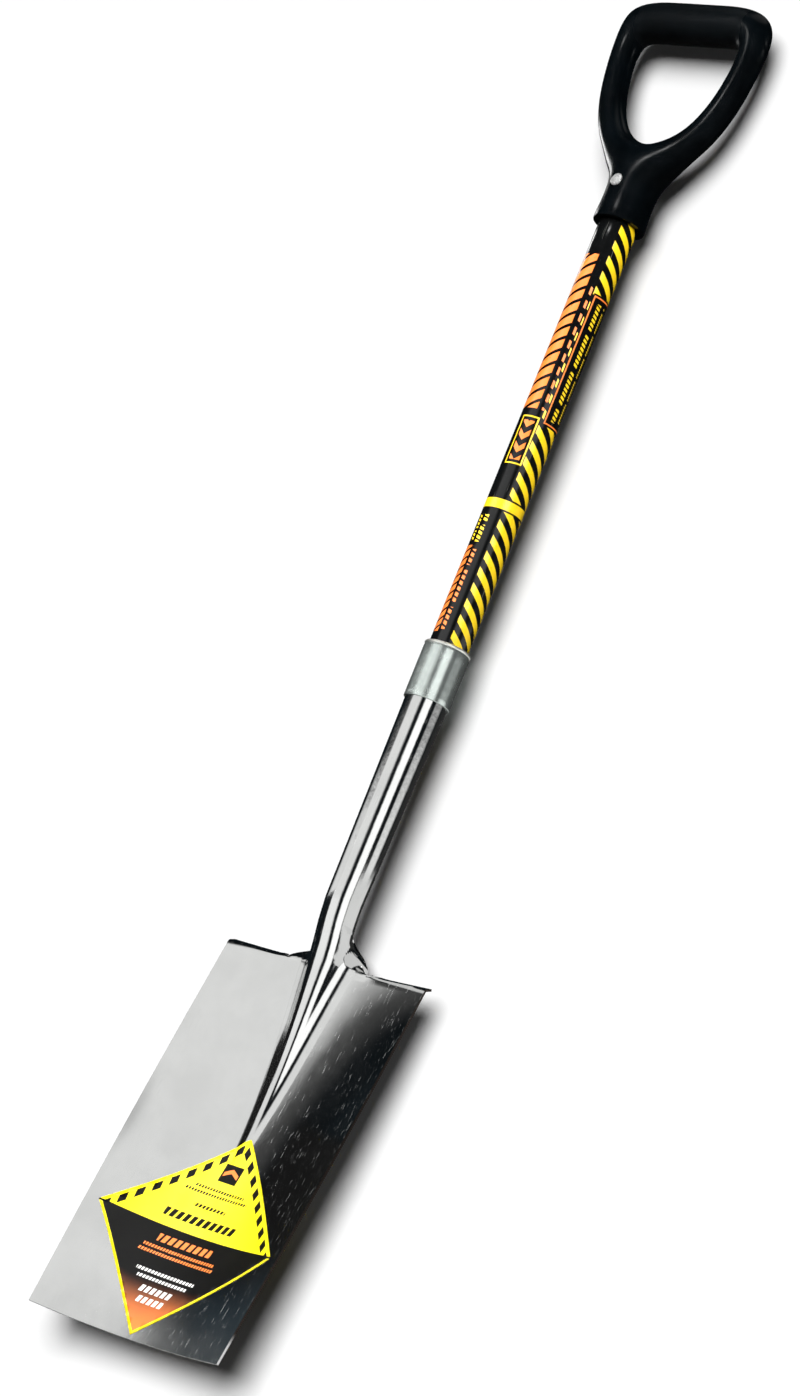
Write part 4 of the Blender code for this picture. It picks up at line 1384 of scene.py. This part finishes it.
def add_backdrop(s):
    """Paper: up behind the handle, leaning with the blade, then round into the floor."""
    lean = math.radians(8.0)
    drop = 0.365
    nearer_grip = 0.0085
    behind_grip = s.wall - nearer_grip
    low_y = s.wall - drop * math.tan(lean)
    low_z = s.bend - drop
    profile = [(behind_grip, 1.6), (behind_grip, -0.05), (s.wall, -0.35)]
    profile += [(s.wall, s.bend + 0.03), (s.wall - 0.0012, s.bend), (low_y, low_z)]
    sweep = (low_z - s.floor) / (1.0 - math.sin(lean))
    for turn in even(lean, 0.5 * math.pi, 13)[1:]:
        y = low_y - sweep * (math.cos(lean) - math.cos(turn))
        z = low_z - sweep * (math.sin(turn) - math.sin(lean))
        profile.append((y, z))
    profile.append((-4.5, s.floor))
    shape = bmesh.new()
    rows = [[shape.verts.new((x, y, z)) for x in (-4.0, 4.0)] for y, z in profile]
    for one, other in zip(rows, rows[1:]):
        shape.faces.new((one[0], other[0], other[1], one[1]))
    backdrop = add_stage_mesh("backdrop", shape, backdrop_material(s.backdrop))
    hide_from(backdrop, "shadow", "glossy", "diffuse")


def panel_material(name, level, tint, width, high, fades, one_side):
    """A glowing panel, softened along its two sides and its top."""
    material = bpy.data.materials.new(name)
    material.use_nodes = True
    n = Nodes(material.node_tree)
    n.tree.nodes.remove(n.tree.nodes["Principled BSDF"])
    across, up, _ = n.split(n.add("ShaderNodeTexCoord", output="UV"))
    left, right, top = fades
    share = n.product(n.ramp(across, 0.0, left), n.ramp(across, width - right, width, 1.0, 0.0))
    share = n.product(share, n.ramp(up, high - top, high, 1.0, 0.0))
    if one_side:
        behind = n.add("ShaderNodeNewGeometry", output="Backfacing")
        share = n.product(share, n.minus(1.0, behind))
    n.show(share, n.add("ShaderNodeEmission", {"Color": tint, "Strength": level}))
    return material


def add_glow(name, shape, material):
    """A panel that only metal and gloss see."""
    panel = add_stage_mesh(name, shape, material)
    hide_from(panel, "camera", "diffuse", "transmission", "volume_scatter", "shadow")


def add_face(shape, uv, corners, spots):
    """A face with the place of each corner on the panel, for its fades."""
    for loop, spot in zip(shape.faces.new(corners).loops, spots):
        loop[uv].uv = spot


def add_panel(name, centre, radius, turns, heights, level, fades, tint):
    """An upright curved panel about a point. Angles, in degrees, run from -Y towards +X."""
    shape = bmesh.new()
    uv = shape.loops.layers.uv.new("UVMap")
    low, high = heights
    width = turns[1] - turns[0]
    steps = 24
    columns = []
    for k in range(steps + 1):
        turn = math.radians(turns[0] + width * k / steps)
        x = centre[0] + radius * math.sin(turn)
        y = centre[1] - radius * math.cos(turn)
        foot, top = [shape.verts.new((x, y, z)) for z in heights]
        columns.append((foot, top, width * k / steps))
    for (foot, top, u), (next_foot, next_top, next_u) in zip(columns, columns[1:]):
        spots = ((u, low), (next_u, low), (next_u, high), (u, high))
        add_face(shape, uv, (foot, next_foot, next_top, top), spots)
    add_glow(name, shape, panel_material(name, level, tint, width, high, fades, False))


def add_level_panel(name, corner, other, height, level, tint, one_side):
    """A level panel. Its front is below where x or y alone falls from corner to corner."""
    (x0, y0), (x1, y1) = corner, other
    shape = bmesh.new()
    uv = shape.loops.layers.uv.new("UVMap")
    corners = [shape.verts.new((x, y, height)) for x, y in ((x0, y0), (x1, y0), (x1, y1), (x0, y1))]
    add_face(shape, uv, corners, ((0.0, 0.0), (1.0, 0.0), (1.0, 1.0), (0.0, 1.0)))
    soft = (0.01, 0.01, 0.01)
    add_glow(name, shape, panel_material(name, level, tint, 1.0, 1.0, soft, one_side))


def add_lamp(name, kind, place, direction, energy, receivers, **settings):
    """A lamp that gloss doesn't see, and that lights only its receivers."""
    data = bpy.data.lights.new(name, kind)
    data.energy = energy
    for key, value in settings.items():
        setattr(data, key, value)
    lamp = bpy.data.objects.new(name, data)
    named_collection("Studio").objects.link(lamp)
    lamp.location = place
    lamp.rotation_euler = Vector(direction).to_track_quat("-Z", "Y").to_euler()
    hide_from(lamp, "glossy")
    lamp.light_linking.receiver_collection = receivers
    return lamp


def add_lamps(s, spade, studio):
    """A broad lamp each side of the camera for the spade, and a sun that draws its shadow."""
    target = Vector((0.0, 0.0, -0.5))
    for name, place, size, power in (
        ("lamp_left", (-1.5, -1.9, 0.4), 1.5, s.left_lamp),
        ("lamp_right", (1.4, -1.6, 0.5), 1.2, s.right_lamp),
    ):
        direction = target - Vector(place)
        lamp = add_lamp(name, "AREA", place, direction, power, spade, shape="SQUARE", size=size)
        hide_from(lamp, "camera")
    width = math.radians(SUN_DEGREES)
    above = (0.0, 0.0, 0.0)
    sun = add_lamp("lamp_shadow", "SUN", above, SUN_DIRECTION, s.shadow_lamp, studio, angle=width)
    sun.light_linking.blocker_collection = spade


def world_light(level):
    """White for what the camera, gloss and glass see, and an even, low light on the rest."""
    world = bpy.data.worlds.new("Studio")
    world.use_nodes = True
    bpy.context.scene.world = world
    n = Nodes(world.node_tree)
    paths = world.node_tree.nodes.new("ShaderNodeLightPath").outputs
    seen = n.either(paths["Is Camera Ray"], paths["Is Glossy Ray"], paths["Is Transmission Ray"])
    sky = world.node_tree.nodes["Background"]
    n.feed(sky.inputs["Color"], WHITE)
    n.feed(sky.inputs["Strength"], n.ramp(seen, 0.0, 1.0, level, 1.0, "LINEAR"))
    world.cycles.sampling_method = "NONE"


def add_camera(scene, studio):
    """A camera at the photograph's place."""
    data = bpy.data.cameras.new("camera")
    data.sensor_width = 36.0
    data.lens = CAMERA_LENS
    camera = bpy.data.objects.new("camera", data)
    studio.objects.link(camera)
    axes = Matrix((CAMERA_RIGHT, CAMERA_UP, CAMERA_BACK)).transposed()
    camera.matrix_world = Matrix.Translation(CAMERA_PLACE) @ axes.to_4x4()
    scene.camera = camera


class SPADE_OT_studio(bpy.types.Operator):
    """Set up the backdrop, floor, lamps, reflection panels and camera"""

    bl_idname = "spade.studio"
    bl_label = "Studio"

    def execute(self, context):
        s = values(context, "studio")[0]
        spade = named_collection("Spade")
        studio = named_collection("Studio")
        add_backdrop(s)

        # The sheet's polished back would throw the panels' light on to the paper
        hide_from(spade.all_objects["blade_sheet"], "diffuse")

        # What metal and gloss see: far dark drapes, bright panels before them, cards up close
        for panel in PANELS:
            add_panel(*panel)
        for panel in LEVEL_PANELS:
            add_level_panel(*panel)
        add_lamps(s, spade, studio)
        world_light(s.ambient)
        add_camera(context.scene, studio)
        context.scene.view_settings.view_transform = "Standard"
        return {"FINISHED"}


class SPADE_PT_panel(bpy.types.Panel):
    """Lists the spade's pieces and sizes"""

    bl_label = "Garden spade"
    bl_idname = "SPADE_PT_panel"
    bl_space_type = "VIEW_3D"
    bl_region_type = "UI"
    bl_category = "Spade"

    def draw(self, context):
        layout = self.layout
        for operator in OPERATORS:
            layout.operator(operator.bl_idname)
        for name in PROPERTIES:
            group = getattr(context.scene, name)
            box = layout.box()
            for key in group.__annotations__:
                box.prop(group, key)


OPERATORS = (
    SPADE_OT_blade,
    SPADE_OT_label,
    SPADE_OT_film,
    SPADE_OT_collar,
    SPADE_OT_grip,
    SPADE_OT_rivet,
    SPADE_OT_inside,
    SPADE_OT_studio,
)

PROPERTIES = {
    "spade_sheet": SpadeSheetSizes,
    "spade_label": SpadeLabelSizes,
    "spade_grip": SpadeGripSizes,
    "spade_handle": SpadeHandleSizes,
    "spade_colours": SpadeColours,
    "spade_studio": SpadeStudio,
}


def register():
    for name, group in PROPERTIES.items():
        bpy.utils.register_class(group)
        setattr(bpy.types.Scene, name, bpy.props.PointerProperty(type=group))
    for operator in OPERATORS:
        bpy.utils.register_class(operator)
    bpy.utils.register_class(SPADE_PT_panel)


def unregister():
    bpy.utils.unregister_class(SPADE_PT_panel)
    for operator in reversed(OPERATORS):
        bpy.utils.unregister_class(operator)
    for name, group in PROPERTIES.items():
        delattr(bpy.types.Scene, name)
        bpy.utils.unregister_class(group)


def main():
    register()
    bpy.ops.spade.blade()
    bpy.ops.spade.label()
    bpy.ops.spade.film()
    bpy.ops.spade.collar()
    bpy.ops.spade.grip()
    bpy.ops.spade.rivet()
    bpy.ops.spade.inside()
    bpy.ops.spade.studio()
    bpy.context.view_layer.update()


if __name__ == "__main__":
    main()
